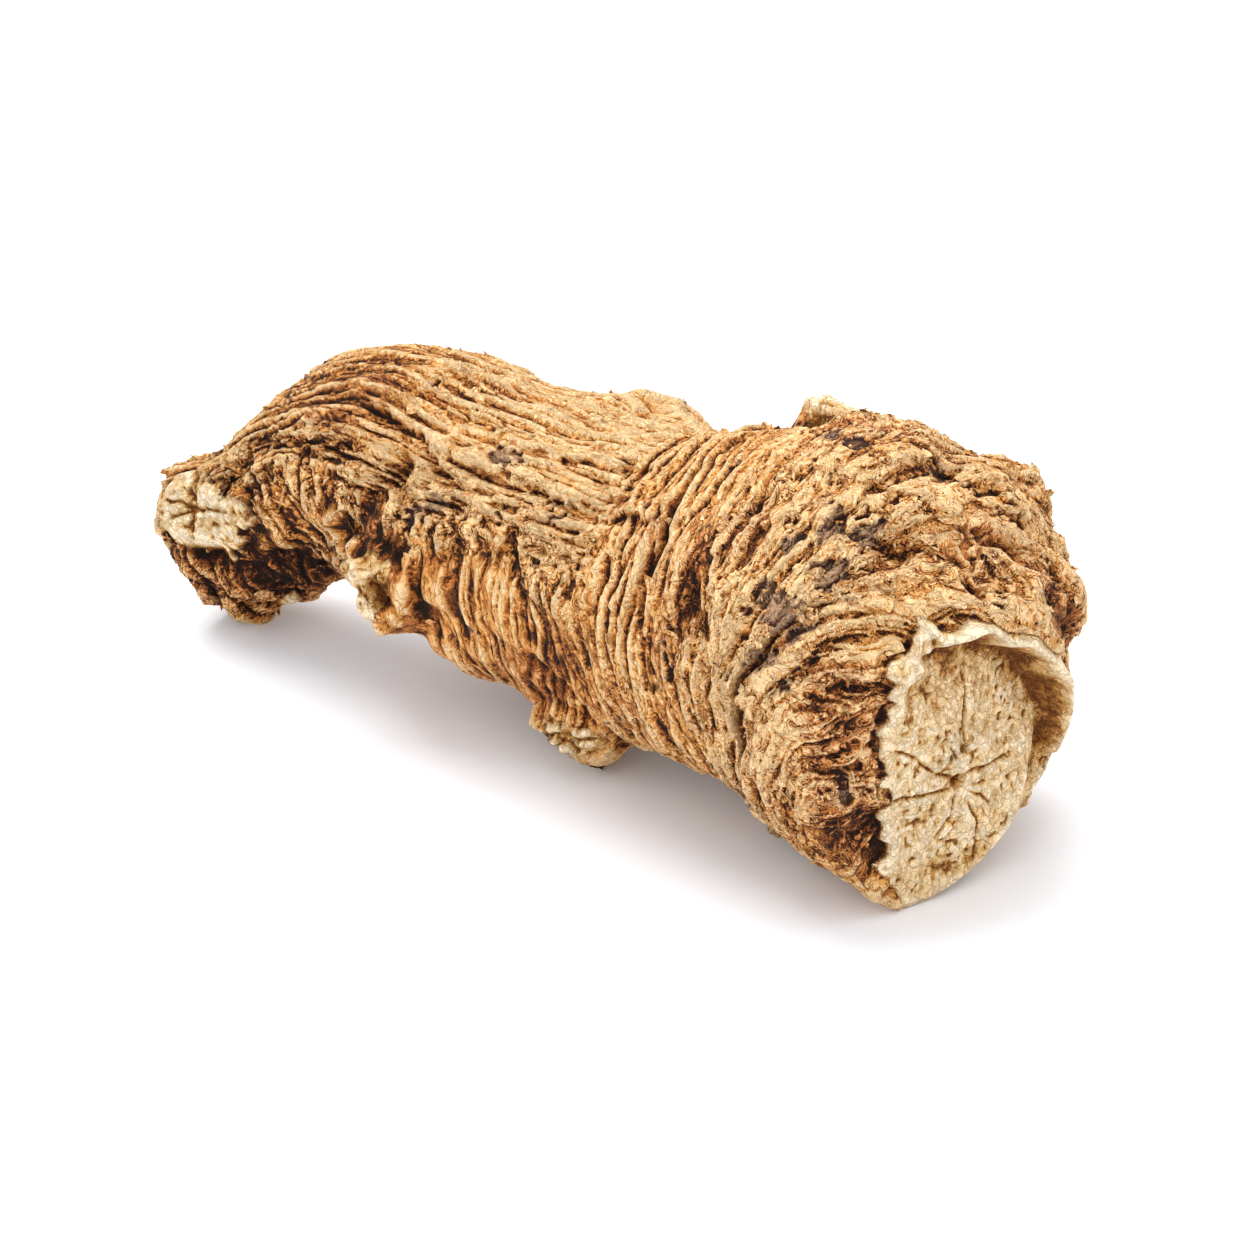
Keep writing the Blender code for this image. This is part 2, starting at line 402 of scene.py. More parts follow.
    def fused_mesh(self) -> bpy.types.Mesh:
        """Join the body and its stubs in one closed, even and slightly softened mesh.

        Returns:
            The mesh, in metres.
        """
        build = bmesh.new()
        for mesh in [self.body_mesh()] + [self.stub_mesh(name) for name in self.stubs]:
            build.from_mesh(mesh)
        bmesh.ops.remove_doubles(build, verts=build.verts, dist=0.01 * MM)
        return with_modifiers(
            built_mesh(build, "whole"),
            ("REMESH", {"mode": "VOXEL", "voxel_size": self.voxel * MM}),
            ("SMOOTH", {"factor": 0.5, "iterations": 14}),
        )

    def stations(self, points: Array) -> tuple[Array, Array, Array]:
        """Find how far each point is along the body from the sawn crown, and its angle round from +Y.

        Args:
            points: Rows of x, y, z in mm.

        Returns:
            The distances along, the angles, and the body's own direction beside each point.
        """
        axis = self.smooth_rows()[:, :3]
        # The line runs on past both ends, so that rings near a slanting cut still run round the root
        before, after = (2 * a - b for a, b in ((axis[0], axis[6]), (axis[-1], axis[-7])))
        axis = np.vstack([before, axis, after])
        best = np.full(len(points), np.inf)
        along, angle = np.zeros(len(points)), np.zeros(len(points))
        heading = np.zeros_like(points)
        gone = -np.linalg.norm(axis[1] - axis[0])
        for start, end in zip(axis, axis[1:]):
            length = np.linalg.norm(end - start)
            distance, share = near_line(points, start, end)
            nearer = distance < best
            best[nearer] = distance[nearer]
            along[nearer] = gone + share[nearer] * length
            out = points - start - share[:, None] * (end - start)
            angle[nearer] = np.arctan2(out[:, 2], out[:, 1])[nearer]
            heading[nearer] = (end - start) / length
            gone += length
        return along, angle, heading

    def cuts(self) -> dict[str, CutPlane]:
        """Find the sawn face of the crown, of the fork's tip and of each stub.

        Returns:
            The faces by name.
        """
        found = {}
        for name, row, facing in (("crown", self.sections[0], 1), ("tip", self.sections[-1], -1)):
            normal, side, up = (np.array(axis) for axis in self.axes(*row[6:8]))
            found[name] = CutPlane(np.array(row[:3]), normal * facing, side, up, row[3], row[4])
        for name, (start, end) in self.stubs.items():
            normal = (Vector(end[:3]) - Vector(start[:3])).normalized()
            axes = (np.array(axis) for axis in (normal, *side_and_up(normal)))
            found[name] = CutPlane(np.array(end[:3]), *axes, end[3], end[3])
        return found


def with_modifiers(mesh: bpy.types.Mesh, *settings: tuple[str, dict]) -> bpy.types.Mesh:
    """Put modifiers on a mesh.

    Args:
        mesh: The mesh, which stays as it is.
        settings: Each modifier's type and its values.

    Returns:
        The mesh after them.
    """
    body = in_scene("body", mesh)
    for kind, values in settings:
        modifier = body.modifiers.new(kind.lower(), kind)
        for key, value in values.items():
            setattr(modifier, key, value)
    return final_mesh(body)


# ---------------------------------------------------------------------------- relief of bark and sawn wood


@dataclass
class Skin:
    """Everything known at each point of the root's skin."""

    points: Array
    normals: Array
    along: Array
    angle: Array
    tone: Array
    patch: Array
    wood: Array
    warm: Array
    ringed: Array
    flaky: Array
    heading: Array

    @classmethod
    def of(cls, points: Array, normals: Array, form: RootForm) -> Skin:
        """Start from plain points, with no relief and no tones.

        Args:
            points: Rows of x, y, z in mm.
            normals: The way that the skin looks at each.
            form: The form that they lie on.

        Returns:
            The skin.
        """
        along, angle, heading = form.stations(points)
        zeros = [np.zeros(len(points)) for _ in range(6)]
        return cls(points, normals, along, angle, *zeros, heading)

    def place(self) -> Array:
        """Each point along the root and round it, in mm, for bark that runs one way or the other."""
        girth = 9  # the root's mean half width
        return np.stack([self.along, girth * np.cos(self.angle), girth * np.sin(self.angle)], axis=1)

    def flow(self) -> Array:
        """Find the way that the bark runs: along the root, or round it where it is ringed.

        Returns:
            One direction a point.
        """
        p = self.points
        side = np.cross(self.heading, self.normals)
        turn = (math.pi / 2) * self.ringed + 0.5 * value_noise(p / 1.7 + 500)
        turn += 0.5 * value_noise(p / 0.8 + 520)
        return self.heading * np.cos(turn)[:, None] + side * np.sin(turn)[:, None]

    def bare(self, share: Array, tone: Array) -> None:
        """Bare the wood at each point by this share, with this tone."""
        self.tone = self.tone * (1 - share) + tone * share
        self.wood = np.maximum(self.wood, share)


# Cracks of the fork's and the foot's bare wood: where each one that starts at the pith ends
FORK_CRACKS = (
    (-23.2, -7.2, 9.0), (-27.7, -7.3, 7.2), (-27.2, -6.6, 9.1), (-25.8, -7.4, 6.4), (-28.4, -7.0, 8.0),
)
FOOT_CRACKS = ((2.4, -7.6, 3.0), (2.9, -7.7, 2.0), (4.3, -7.9, 2.1), (5.0, -7.7, 3.0), (3.6, -8.0, 3.6))
# Where the bark is off and the grey inner bark shows: both ends of a patch, and its spread
BARE_SPOTS = (
    (-4.4, -5.1, 17.9, -1.8, -6.2, 18.0, 0.9), (2.2, -7.3, 17.5, 3.2, -8.0, 16.1, 0.8),
    (18.8, -9.9, 19.4, 21.0, -11.3, 18.9, 0.9), (20.6, -8.6, 20.8, 21.7, -7.7, 21.5, 0.8),
    (23.1, -9.1, 20.3, 24.2, -8.3, 19.9, 0.8), (22.4, -7.1, 21.9, 23.2, -5.1, 22.0, 0.7),
    (24.0, -6.1, 21.6, 24.4, -5.0, 20.7, 0.6), (22.0, -10.9, 18.3, 23.5, -10.8, 17.9, 0.9),
    (-11.2, -3.3, 20.2, -8.9, -2.1, 20.5, 0.9), (-7.3, -9.3, 14.4, -6.6, -8.9, 15.1, 0.9),
    (-11.7, -10.1, 10.7, -10.4, -10.8, 10.5, 0.6), (16.0, -11.4, 13.7, 18.9, -12.9, 14.4, 0.8),
    (17.0, 0.3, 23.4, 19.3, -1.0, 24.2, 0.8), (19.3, -1.0, 24.2, 22.4, -0.5, 24.3, 1.0),
    (22.4, -0.5, 24.3, 24.9, 2.6, 22.3, 1.0), (26.8, 2.5, 21.6, 27.2, 5.6, 18.1, 0.7),
)
# Where the bark is raw and orange: both ends, and the spread
RAW_SPOTS = (
    (26.7, -11.7, 13.9, 27.8, -11.6, 8.7, 1.9), (27.8, -11.6, 8.7, 27.5, -11.6, 4.8, 1.8),
    (24.0, -10.2, 16.8, 26.0, -10.8, 14.0, 1.2), (-19.0, -5.0, 6.0, -26.0, -6.0, 4.5, 2.6),
    (-9.9, -7.6, 15.0, -11.5, -9.5, 10.0, 1.2), (4.5, -8.6, 9.5, 2.5, -7.5, 6.5, 1.3),
    (29.8, 3.4, 16.0, 29.4, 6.4, 11.0, 1.4), (16.0, 3.6, 23.2, 16.4, 2.2, 23.0, 0.9),
    (-9.2, -9.6, 12.4, -8.4, -10.6, 11.2, 1.2), (15.2, -8.6, 19.4, 15.0, -11.0, 15.0, 0.9),
)
# Holes and gaps under torn edges: both ends, the spread and the depth
HOLES = (
    (20.0, 7.2, 22.0, 23.2, 3.2, 23.6, 2.4, 0.6), (26.4, -3.4, 20.4, 27.6, -2.2, 19.8, 0.5, 1.1),
    (28.7, -2.7, 18.8, 29.6, -2.6, 18.6, 0.4, 1.0), (27.6, 1.4, 19.7, 28.5, 2.0, 19.2, 0.5, 1.1),
    (21.4, -11.9, 14.9, 24.8, -11.3, 16.1, 0.35, 0.9), (29.2, 4.6, 17.0, 30.0, 5.4, 12.6, 0.6, 1.0),
    (-12.2, -6.8, 13.6, -12.6, -8.2, 11.0, 0.5, 1.0), (10.6, -4.6, 20.8, 11.2, -8.3, 18.1, 0.3, 1.2),
    (11.2, -8.3, 18.1, 11.4, -10.9, 14.0, 0.36, 1.4), (13.0, -6.4, 20.4, 12.3, -8.8, 18.0, 0.22, 0.5),
    (-26.0, -7.4, 5.6, -24.2, -7.4, 5.9, 0.6, 1.3), (-20.4, -6.4, 6.4, -18.6, -5.1, 5.9, 0.8, 1.3),
    (1.0, -8.2, 8.4, 3.0, -8.7, 8.0, 0.6, 0.8), (-8.4, -10.8, 9.9, -8.0, -10.6, 8.9, 0.5, 1.3),
    (1.6, -8.0, 4.6, 2.2, -8.2, 5.2, 0.5, 0.8), (5.9, -7.8, 4.8, 6.3, -7.6, 4.2, 0.5, 0.9),
    (14.4, 1.4, 22.9, 14.6, 1.3, 22.9, 0.45, 0.6), (1.0, 2.2, 19.3, 1.6, 2.0, 19.4, 0.45, 0.8),
)
# Folds, lobes and lips: both ends, the spread and the height
FOLDS = (
    (24.9, -9.9, 18.0, 24.1, -12.0, 16.5, 0.55, 0.6), (24.1, -12.0, 16.5, 22.5, -12.9, 14.6, 0.6, 0.7),
    (27.0, 1.0, 21.4, 28.6, 4.2, 18.4, 0.6, 0.6), (2.6, -8.6, 13.2, 3.4, -9.3, 11.4, 0.7, 0.6),
    (9.2, -1.6, 20.9, 10.4, -6.8, 19.4, 0.4, 0.4), (10.2, -7.6, 18.6, 9.4, -10.0, 14.2, 0.36, 0.4),
    (-25.2, -7.1, 9.0, -22.6, -7.1, 9.8, 0.9, 0.6), (-28.4, -6.9, 8.2, -28.3, -7.4, 6.0, 0.9, 0.5),
    (-26.8, -7.5, 6.4, -24.6, -7.5, 6.7, 0.5, 0.4), (-10.2, -11.0, 10.8, -10.2, -10.8, 9.8, 0.6, 0.5),
    (-9.8, -11.0, 8.9, -9.3, -10.8, 8.0, 0.6, 0.5), (-7.5, -10.6, 11.2, -7.0, -10.3, 9.8, 0.7, 0.7),
    (-7.3, -10.3, 9.0, -7.0, -10.1, 8.6, 0.5, 0.5), (-7.7, -10.2, 7.9, -7.4, -10.1, 7.5, 0.5, 0.4),
    (13.8, 3.4, 23.3, 14.2, 3.0, 23.4, 1.1, 0.6), (-0.6, 3.4, 19.2, 1.0, 4.2, 19.2, 0.8, 0.5),
    (2.4, 3.6, 19.4, 3.8, 3.2, 19.6, 0.7, 0.7), (4.4, 2.4, 19.8, 6.8, 0.2, 20.5, 0.35, 0.35),
    (15.5, 4.0, 23.2, 15.6, 2.2, 22.9, 0.28, 0.35), (16.2, 3.8, 23.2, 16.5, 2.0, 23.0, 0.28, 0.35),
    (29.2, 5.2, 16.4, 28.8, 6.6, 13.6, 1.9, 1.1), (-25.2, -6.0, 11.0, -23.0, -5.6, 12.6, 1.5, 0.7),
    (-28.4, -5.8, 9.2, -27.0, -5.8, 10.2, 1.2, 0.4), (15.4, 2.6, 23.2, 16.2, 2.2, 23.3, 0.9, 0.5),
)


@dataclass(frozen=True)
class TornEdge:
    """The torn edge of one bark layer: it stands up through these places over a crevice below it."""

    places: tuple
    below: tuple[float, float, float]
    rise: float = 0.26
    reach: float = 0.9

    def height(self, points: Array) -> Array:
        """Find the height of the layer above the edge and the depth of the crevice below it.

        Args:
            points: Rows of x, y, z in mm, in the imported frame.

        Returns:
            Heights in mm, below 0 in the crevice.
        """
        jagged = 0.4 * value_noise(points / 1.1 + 7) + 0.25 * value_noise(points / 0.45 + 9)
        strength, side = np.zeros(len(points)), np.zeros(len(points))
        for start, end in zip(self.places, self.places[1:]):
            start, end = np.array(start), np.array(end)
            distance, share = near_line(points, start, end)
            here = np.exp(-((distance / self.reach) ** 2))
            offset = (points - start - share[:, None] * (end - start)) @ np.array(self.below)
            side = np.where(here > strength, offset, side)
            strength = np.maximum(strength, here)
        return -self.rise * strength * np.tanh((side + jagged) / 0.12)


TORN_EDGES = (
    TornEdge(
        ((-7.2, -6.3, 17.4), (-2.1, -6.4, 17.5), (0.9, -7.0, 17.7), (6.1, -7.4, 18.0), (8.9, -7.4, 18.6)),
        (0, -0.7, -0.7),
    ),
    TornEdge(
        ((-7.0, -3.8, 18.7), (-1.3, -5.0, 18.9), (4.1, -4.7, 19.5), (7.2, -4.3, 19.8)), (0, -0.85, -0.5), 0.18
    ),
    TornEdge(((-13.0, -5.6, 18.4), (-9.0, -6.0, 18.0), (-6.0, -7.4, 16.6)), (0, -0.8, -0.6), 0.3),
    TornEdge(((18.0, -7.6, 20.8), (21.5, -7.0, 21.6), (25.0, -5.0, 21.0)), (0.5, -0.8, -0.3), 0.24),
    TornEdge(((17.4, -4.0, 22.8), (21.5, -3.4, 23.2), (25.6, -1.6, 22.2)), (0.4, -0.9, -0.2), 0.24),
    TornEdge(((15.4, -8.4, 19.4), (17.0, -10.2, 17.0), (17.4, -11.4, 14.0)), (-0.9, 0, -0.4), 0.24),
    TornEdge(((22.0, 1.6, 24.0), (24.8, 3.0, 22.6), (27.0, 4.2, 20.0)), (0.3, -0.9, 0.3), 0.26),
)
# Where dirt and shade darken the bark: both ends, the spread and how much
DARK_PLACES = (
    (19.6, -0.8, 24.1, 25.0, 2.2, 22.4, 1.5, 0.14), (26.2, -2.2, 21.0, 29.2, -0.4, 18.8, 1.6, 0.12),
    (23.2, -5.6, 21.6, 25.6, -4.4, 20.6, 1.2, 0.08), (29.6, 4.4, 17.0, 30.0, 6.0, 11.0, 1.4, 0.25),
    (-22.0, -6.8, 6.0, -18.0, -5.0, 5.0, 2.0, 0.24), (-9.0, -6.8, 16.6, -12.6, -8.0, 11.0, 0.9, 0.22),
    (2.2, -8.6, 9.8, 6.4, -8.8, 6.8, 1.2, 0.14), (-8.6, -2.4, 20.3, -4.0, -4.8, 18.2, 0.9, 0.14),
    (16.2, 0.4, 22.9, 19.0, -1.0, 23.9, 1.0, 0.24), (26.7, -11.7, 13.9, 27.6, -11.6, 6.0, 1.6, 0.12),
    (10.6, -4.6, 20.8, 11.2, -8.3, 18.1, 0.4, 0.45), (11.2, -8.3, 18.1, 11.4, -10.9, 14.0, 0.45, 0.5),
)


@dataclass
class BarkRelief:
    """The heights of the corky bark over the plain form, in mm.

    In the sums of noise below, points over a number give bumps that many mm wide, and the number added only
    makes one noise unlike the next.
    """

    ring_pitch: float = 2.3
    ring_height: float = 0.34
    strand_height: float = 0.5
    plate_height: float = 0.36
    lump_height: float = 0.45
    rope_height: float = 0.3
    rope_pitch: float = 0.85
    ridge_pitch: float = 1.45
    wrinkle_pitch: float = 1.3
    patch_depth: float = 0.2
    shelf: float = 0.2
    crumb: float = 0.09

    def regions(self, skin: Skin) -> dict[str, Array]:
        """Share of each kind of bark at each point.

        Args:
            skin: The skin's points.

        Returns:
            Shares from 0 to 1, by the kind's name.
        """
        # Edges are mm along from the crown's cut, or heights from -1 under the root to 1 on top of it,
        # and all of them wander by up to 1.6 mm
        wobble = 1.6 * value_noise(skin.points / 3.2 + 90)
        s = skin.along + wobble
        high = np.sin(skin.angle) + 0.12 * wobble
        near = -np.cos(skin.angle) + 0.1 * wobble
        low = blend(high, 0.35, -0.05)
        return {
            "waist": blend(s, 14.5 - 6 * low, 17.5 - 6 * low) * blend(s, 28, 23),
            "gap": blend(s, 18, 19.5) * blend(s, 23.5, 22) * blend(high, -0.3, 0.2),
            "strands": blend(s, 22.5, 25.5) * blend(high, 0.25, 0.6),
            "side_rings": blend(s, 24, 27) * low * blend(s, 49, 45),
            "crumbs": blend(s, 24, 28) * blend(high, 0.8, 0.55) * blend(high, 0.0, 0.3) * blend(near, 0, 0.4),
            "crown": blend(s, 17, 14) * blend(high, -0.2, 0.2),
            "crown_side": blend(s, 17, 13) * blend(high, 0.6, 0.2),
            "fork": blend(s, 45, 48) * blend(high, 0.75, 0.45),
        }

    def heights(self, skin: Skin, form: RootForm) -> Array:
        """Find the height of the bark, and set the skin's patch, warm, ringed and flaky shares and its tone.

        Args:
            skin: The skin's points, whose shares are filled in.
            form: The form, for its knots and its place in the frame.

        Returns:
            Heights in mm along the skin's normals.
        """
        p, s, angle = skin.points, skin.along, skin.angle
        frame_points = p + form.settled
        share = self.regions(skin)
        calm = 1 - 0.75 * share["strands"]
        wander = value_noise(p / 6)
        ring_wander = 0.9 * wander + 0.35 * value_noise(p / 2.5 + 20) + 0.15 * np.sin(angle)
        coarse = ridged(np.sin(math.pi * (s / self.ring_pitch + ring_wander)), 1.55)
        coarse *= 0.95 + 0.5 * value_noise(p / 4 + 60)
        waist_band = blend(s, 8, 15) * blend(s, 31, 24)
        low_side = blend(np.sin(angle), 0.5, -0.1)
        height = self.lump_height * (1 - 0.4 * share["strands"]) * value_noise(p / 5 + 40)
        coarse_share = np.clip(waist_band + 0.6 * low_side + 0.35, 0, 1.1) * (1 - 0.9 * share["strands"])
        height += 0.22 * self.ring_height * coarse * coarse_share * (1 - 0.5 * share["waist"])

        # Ropes round the waist and strands along the back, bent so that no two run side by side for long
        bend = np.stack([value_noise(p / 2.6 + k) for k in (5, 55, 105)], axis=1)
        bend += 0.12 * np.stack([value_noise(p / 0.9 + k) for k in (15, 65, 115)], axis=1)
        place = skin.place()
        phase = s / self.rope_pitch + 0.9 * wander + 0.5 * value_noise(p / 2.2 + 21)
        phase += 0.12 * value_noise(p / 0.8 + 22)
        ropes = 1.7 * np.abs(np.sin(math.pi * phase)) ** 0.5 - 1.4
        ropes *= 0.15 + 0.5 * blend(value_noise(p / (3, 5, 5) + 62), -0.4, 0.6) + 0.9 * share["gap"]
        long_round = (place + 0.3 * bend) * (1, 0.06, 0.06)
        threads = ridged(value_noise(long_round * (2.6, 3, 3) + 37))
        cords = ridged(value_noise(long_round * 1.3 + 17))
        ringed = 0.7 * share["waist"] + 0.5 * share["gap"] + 0.15 * share["side_rings"]
        ringed += 0.3 * share["crown_side"]
        height += self.rope_height * ringed * (0.6 * ropes + 0.25 * cords + 0.35 * threads)
        soft_phase = s / self.ridge_pitch + 1.2 * wander + 0.5 * value_noise(p / 2.2 + 121)
        soft_ridges = np.sin(2 * math.pi * soft_phase) + 0.9 * value_noise(long_round * (1.5, 1.2, 1.2) + 137)
        height += share["side_rings"] * (0.06 * soft_ridges + 0.1 * threads + 0.05 * cords)
        height += 0.1 * threads * np.clip(share["crown_side"] + 0.7 * share["crown"], 0, 1)
        body_grain = np.stack([s / 9, 3.1 * np.cos(angle) + 0.3 * wander, 3.1 * np.sin(angle)], axis=1)
        back = blend(s, 23, 27) * blend(np.sin(angle), -0.1, 0.4)
        height += 0.28 * self.strand_height * (0.5 - 2 * np.abs(value_noise(2 * body_grain))) * back
        straight = (place + 0.3 * bend) * (0.07, 1, 1)
        strands = ridged(value_noise(straight * 1.2 + 29))
        hairs = ridged(value_noise(straight * (2, 2.6, 2.6) + 49))
        height += share["strands"] * (0.1 * strands + 0.12 * hairs)

        # Plates on the body, and wrinkles on the fork
        plates = calm * np.tanh(4 * value_noise(p / (2.8, 2.0, 2.0) + 7))
        height += self.plate_height * 0.5 * plates * blend(waist_band, 1.4, 0.2)
        fold_phase = s / self.wrinkle_pitch + 0.8 * wander + 0.6 * value_noise(p / 1.8 + 171)
        wrinkles = ridged(np.sin(math.pi * fold_phase), 1.4)
        height += 0.2 * wrinkles * (0.7 + value_noise(p / 2 + 191)) * share["fork"]

        # Torn papery layers: shelves of a field drawn out along the way that the bark runs there
        along_share = share["strands"]
        field_long = value_noise(straight * (3, 1.0, 1.0) + 31)
        field_long += 0.7 * value_noise(straight * (8, 2.6, 2.6) + 13)
        wide_round = (place + 0.35 * bend) * (1, 0.1, 0.1)
        field_ring = value_noise(wide_round * (0.75, 2.2, 2.2) + 61)
        field_ring += 0.6 * value_noise(wide_round * (2.0, 5, 5) + 43)
        torn = along_share * field_long + (1 - along_share) * field_ring + 0.06 * value_noise(p / 0.5 + 3)
        flaky = 0.8 * share["crown"] + 0.8 * share["crumbs"] + 0.55 * share["crown_side"] + 0.3 * along_share
        flaky = np.clip(flaky + 0.5 * share["fork"] + 0.35 * share["waist"] + 0.15, 0, 1)
        height += flaky * terraces(0.62 * torn, self.shelf, 0.13)
        height += self.crumb * rough_noise(p / 0.5 + 12, 2) * (0.25 * calm + 0.35 * share["crumbs"])

        # Bare inner bark where layers are gone, sunk by their thickness
        bare = value_noise(p / 2.7 + 210) + 0.6 * value_noise(p / 1.2 + 230)
        bare += 0.35 * value_noise(p / 0.55 + 250)
        often = 0.6 * share["crumbs"] + 0.5 * share["crown"] + 0.25 * share["fork"]
        often = often + 0.45 * share["crown_side"] - 0.4
        named = marked(frame_points, BARE_SPOTS)
        shreds = value_noise(wide_round * (3.2, 6, 6) + 83) + 0.7 * value_noise(p / 0.3 + 270)
        skin.patch = bare + 0.4 * often + 0.98 * np.minimum(named, 1) + 0.5 * shreds - 0.97
        patch = blend(skin.patch, -0.05, 0.05)
        height = height * (1 - 0.3 * patch) - self.patch_depth * patch
        height = marked(p, form.marks, height)
        # Tones that the finish reads
        raw = np.minimum(marked(frame_points, RAW_SPOTS), 1)
        height += raw * 0.2 * rough_noise(p / 0.8 + 400, 2)
        skin.warm = np.clip(0.46 + 0.55 * rough_noise(p / 3.5 + 300, 3) + 0.6 * raw, 0, 1)
        skin.ringed = np.clip(1 - along_share, 0, 1)
        skin.flaky = np.clip(flaky + 0.4 * raw, 0, 1)
        skin.tone = 0.28 * share["strands"] * blend(s, 46, 38) + 0.2 * share["crown"]
        skin.tone += 0.08 * share["crown_side"]
        skin.tone += 0.05 * share["waist"] - 0.03 * share["side_rings"]
        skin.tone -= 0.2 * raw + 0.05 * blend(s, 40, 46) - 0.1 * rough_noise(p / 5 + 330, 2)
        skin.tone -= marked(frame_points, DARK_PLACES)
        return height

    @staticmethod
    def swells(frame_points: Array) -> Array:
        """Find the heights of the named folds, torn edges and holes, which cross bark and bare wood alike.

        Args:
            frame_points: Rows of x, y, z in mm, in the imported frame.

        Returns:
            Heights in mm along the normals.
        """
        rise = marked(frame_points, FOLDS)
        rise = rise + sum(edge.height(frame_points) for edge in TORN_EDGES)
        return rise - marked(frame_points, HOLES)


@dataclass(frozen=True)
class WornEnd:
    """Bare wood on a broken rootlet, cracked from its pith and worn ragged into the bark."""

    centre: tuple[float, float, float]
    facing: tuple[float, float, float]
    half_width: float
    half_height: float
    bulge: float
    pale: float  # tone of its middle, from 0 for dark to 1 for cream
    pith: tuple[float, float, float] | None = None
    crack_ends: tuple = ()

    def relief(self, skin: Skin, form: RootForm) -> tuple[Array, Array, Array]:
        """Shape and colour this end.

        Args:
            skin: The skin's points.
            form: The form, for its place in the frame.

        Returns:
            Each point's move in mm, its share of bare wood, and its tone.
        """
        normal = Vector(self.facing).normalized()
        normal, side, up = (np.array(axis) for axis in (normal, *side_and_up(normal)))
        places = skin.points + form.settled
        offset = places - self.centre
        across, rise, out = offset @ side, offset @ up, offset @ normal
        turn = np.arctan2(rise / self.half_height, across / self.half_width)
        seed = 3 * self.centre[0]
        radius = np.hypot(across / self.half_width, rise / self.half_height) + 0.07 * np.sin(3 * turn + seed)
        radius += 0.25 * value_noise(places / 1.2 + seed) + 0.16 * value_noise(places / 0.5 + seed)
        inside = blend(radius, 1.2, 0.8) * blend(np.abs(out), 2.6, 1.8)
        inside = inside * blend(skin.normals @ normal, 0.1, 0.45)
        rough = rough_noise(places / 0.9 + seed, 3)
        blot = blend(rough_noise(places / 1.7 + 2 * seed, 2), -0.05, 0.45)
        rays = value_noise(np.stack([radius, 6 * np.cos(turn), 6 * np.sin(turn)], axis=1) + seed)
        pits = blend(value_noise(places / 0.4 + seed), 0.3, 0.6)
        fine = rough_noise(places / 0.32 + seed, 2)
        height = self.bulge * (1 - np.minimum(radius, 1) ** 2) + 0.17 * rough + 0.06 * rays
        height = height - 0.12 * pits + 0.05 * fine
        tone = self.pale + 0.25 * rough + 0.12 * rays - 0.22 * blot - 0.38 * blend(radius, 0.45, 1.05)
        tone += 0.12 * fine - 0.25 * pits
        if self.pith:
            # Cracks are judged across the face alone, because the bare wood swells out of the plain form
            flatten = np.stack([side, up, np.zeros(3)], axis=1)
            pith = (np.array(self.pith) - self.centre) @ flatten
            flat = offset @ flatten
            hollow = np.exp(-((np.linalg.norm(flat - pith, axis=1) / 0.4) ** 2))
            bent = flat + 0.2 * value_noise(places / 0.6 + 8)[:, None] * (1, 1, 0)
            for end in self.crack_ends:
                distance, share = near_line(bent, pith, (np.array(end) - self.centre) @ flatten)
                crack = np.exp(-((distance / (0.19 - 0.07 * share)) ** 2)) * (1 - 0.4 * share)
                hollow = np.maximum(hollow, crack)
            # The pith hollow and its cracks are sunk, and darkened with painted shade
            height -= 0.45 * hollow
            tone -= 0.55 * hollow
        return (inside * height)[:, None] * normal, inside, tone


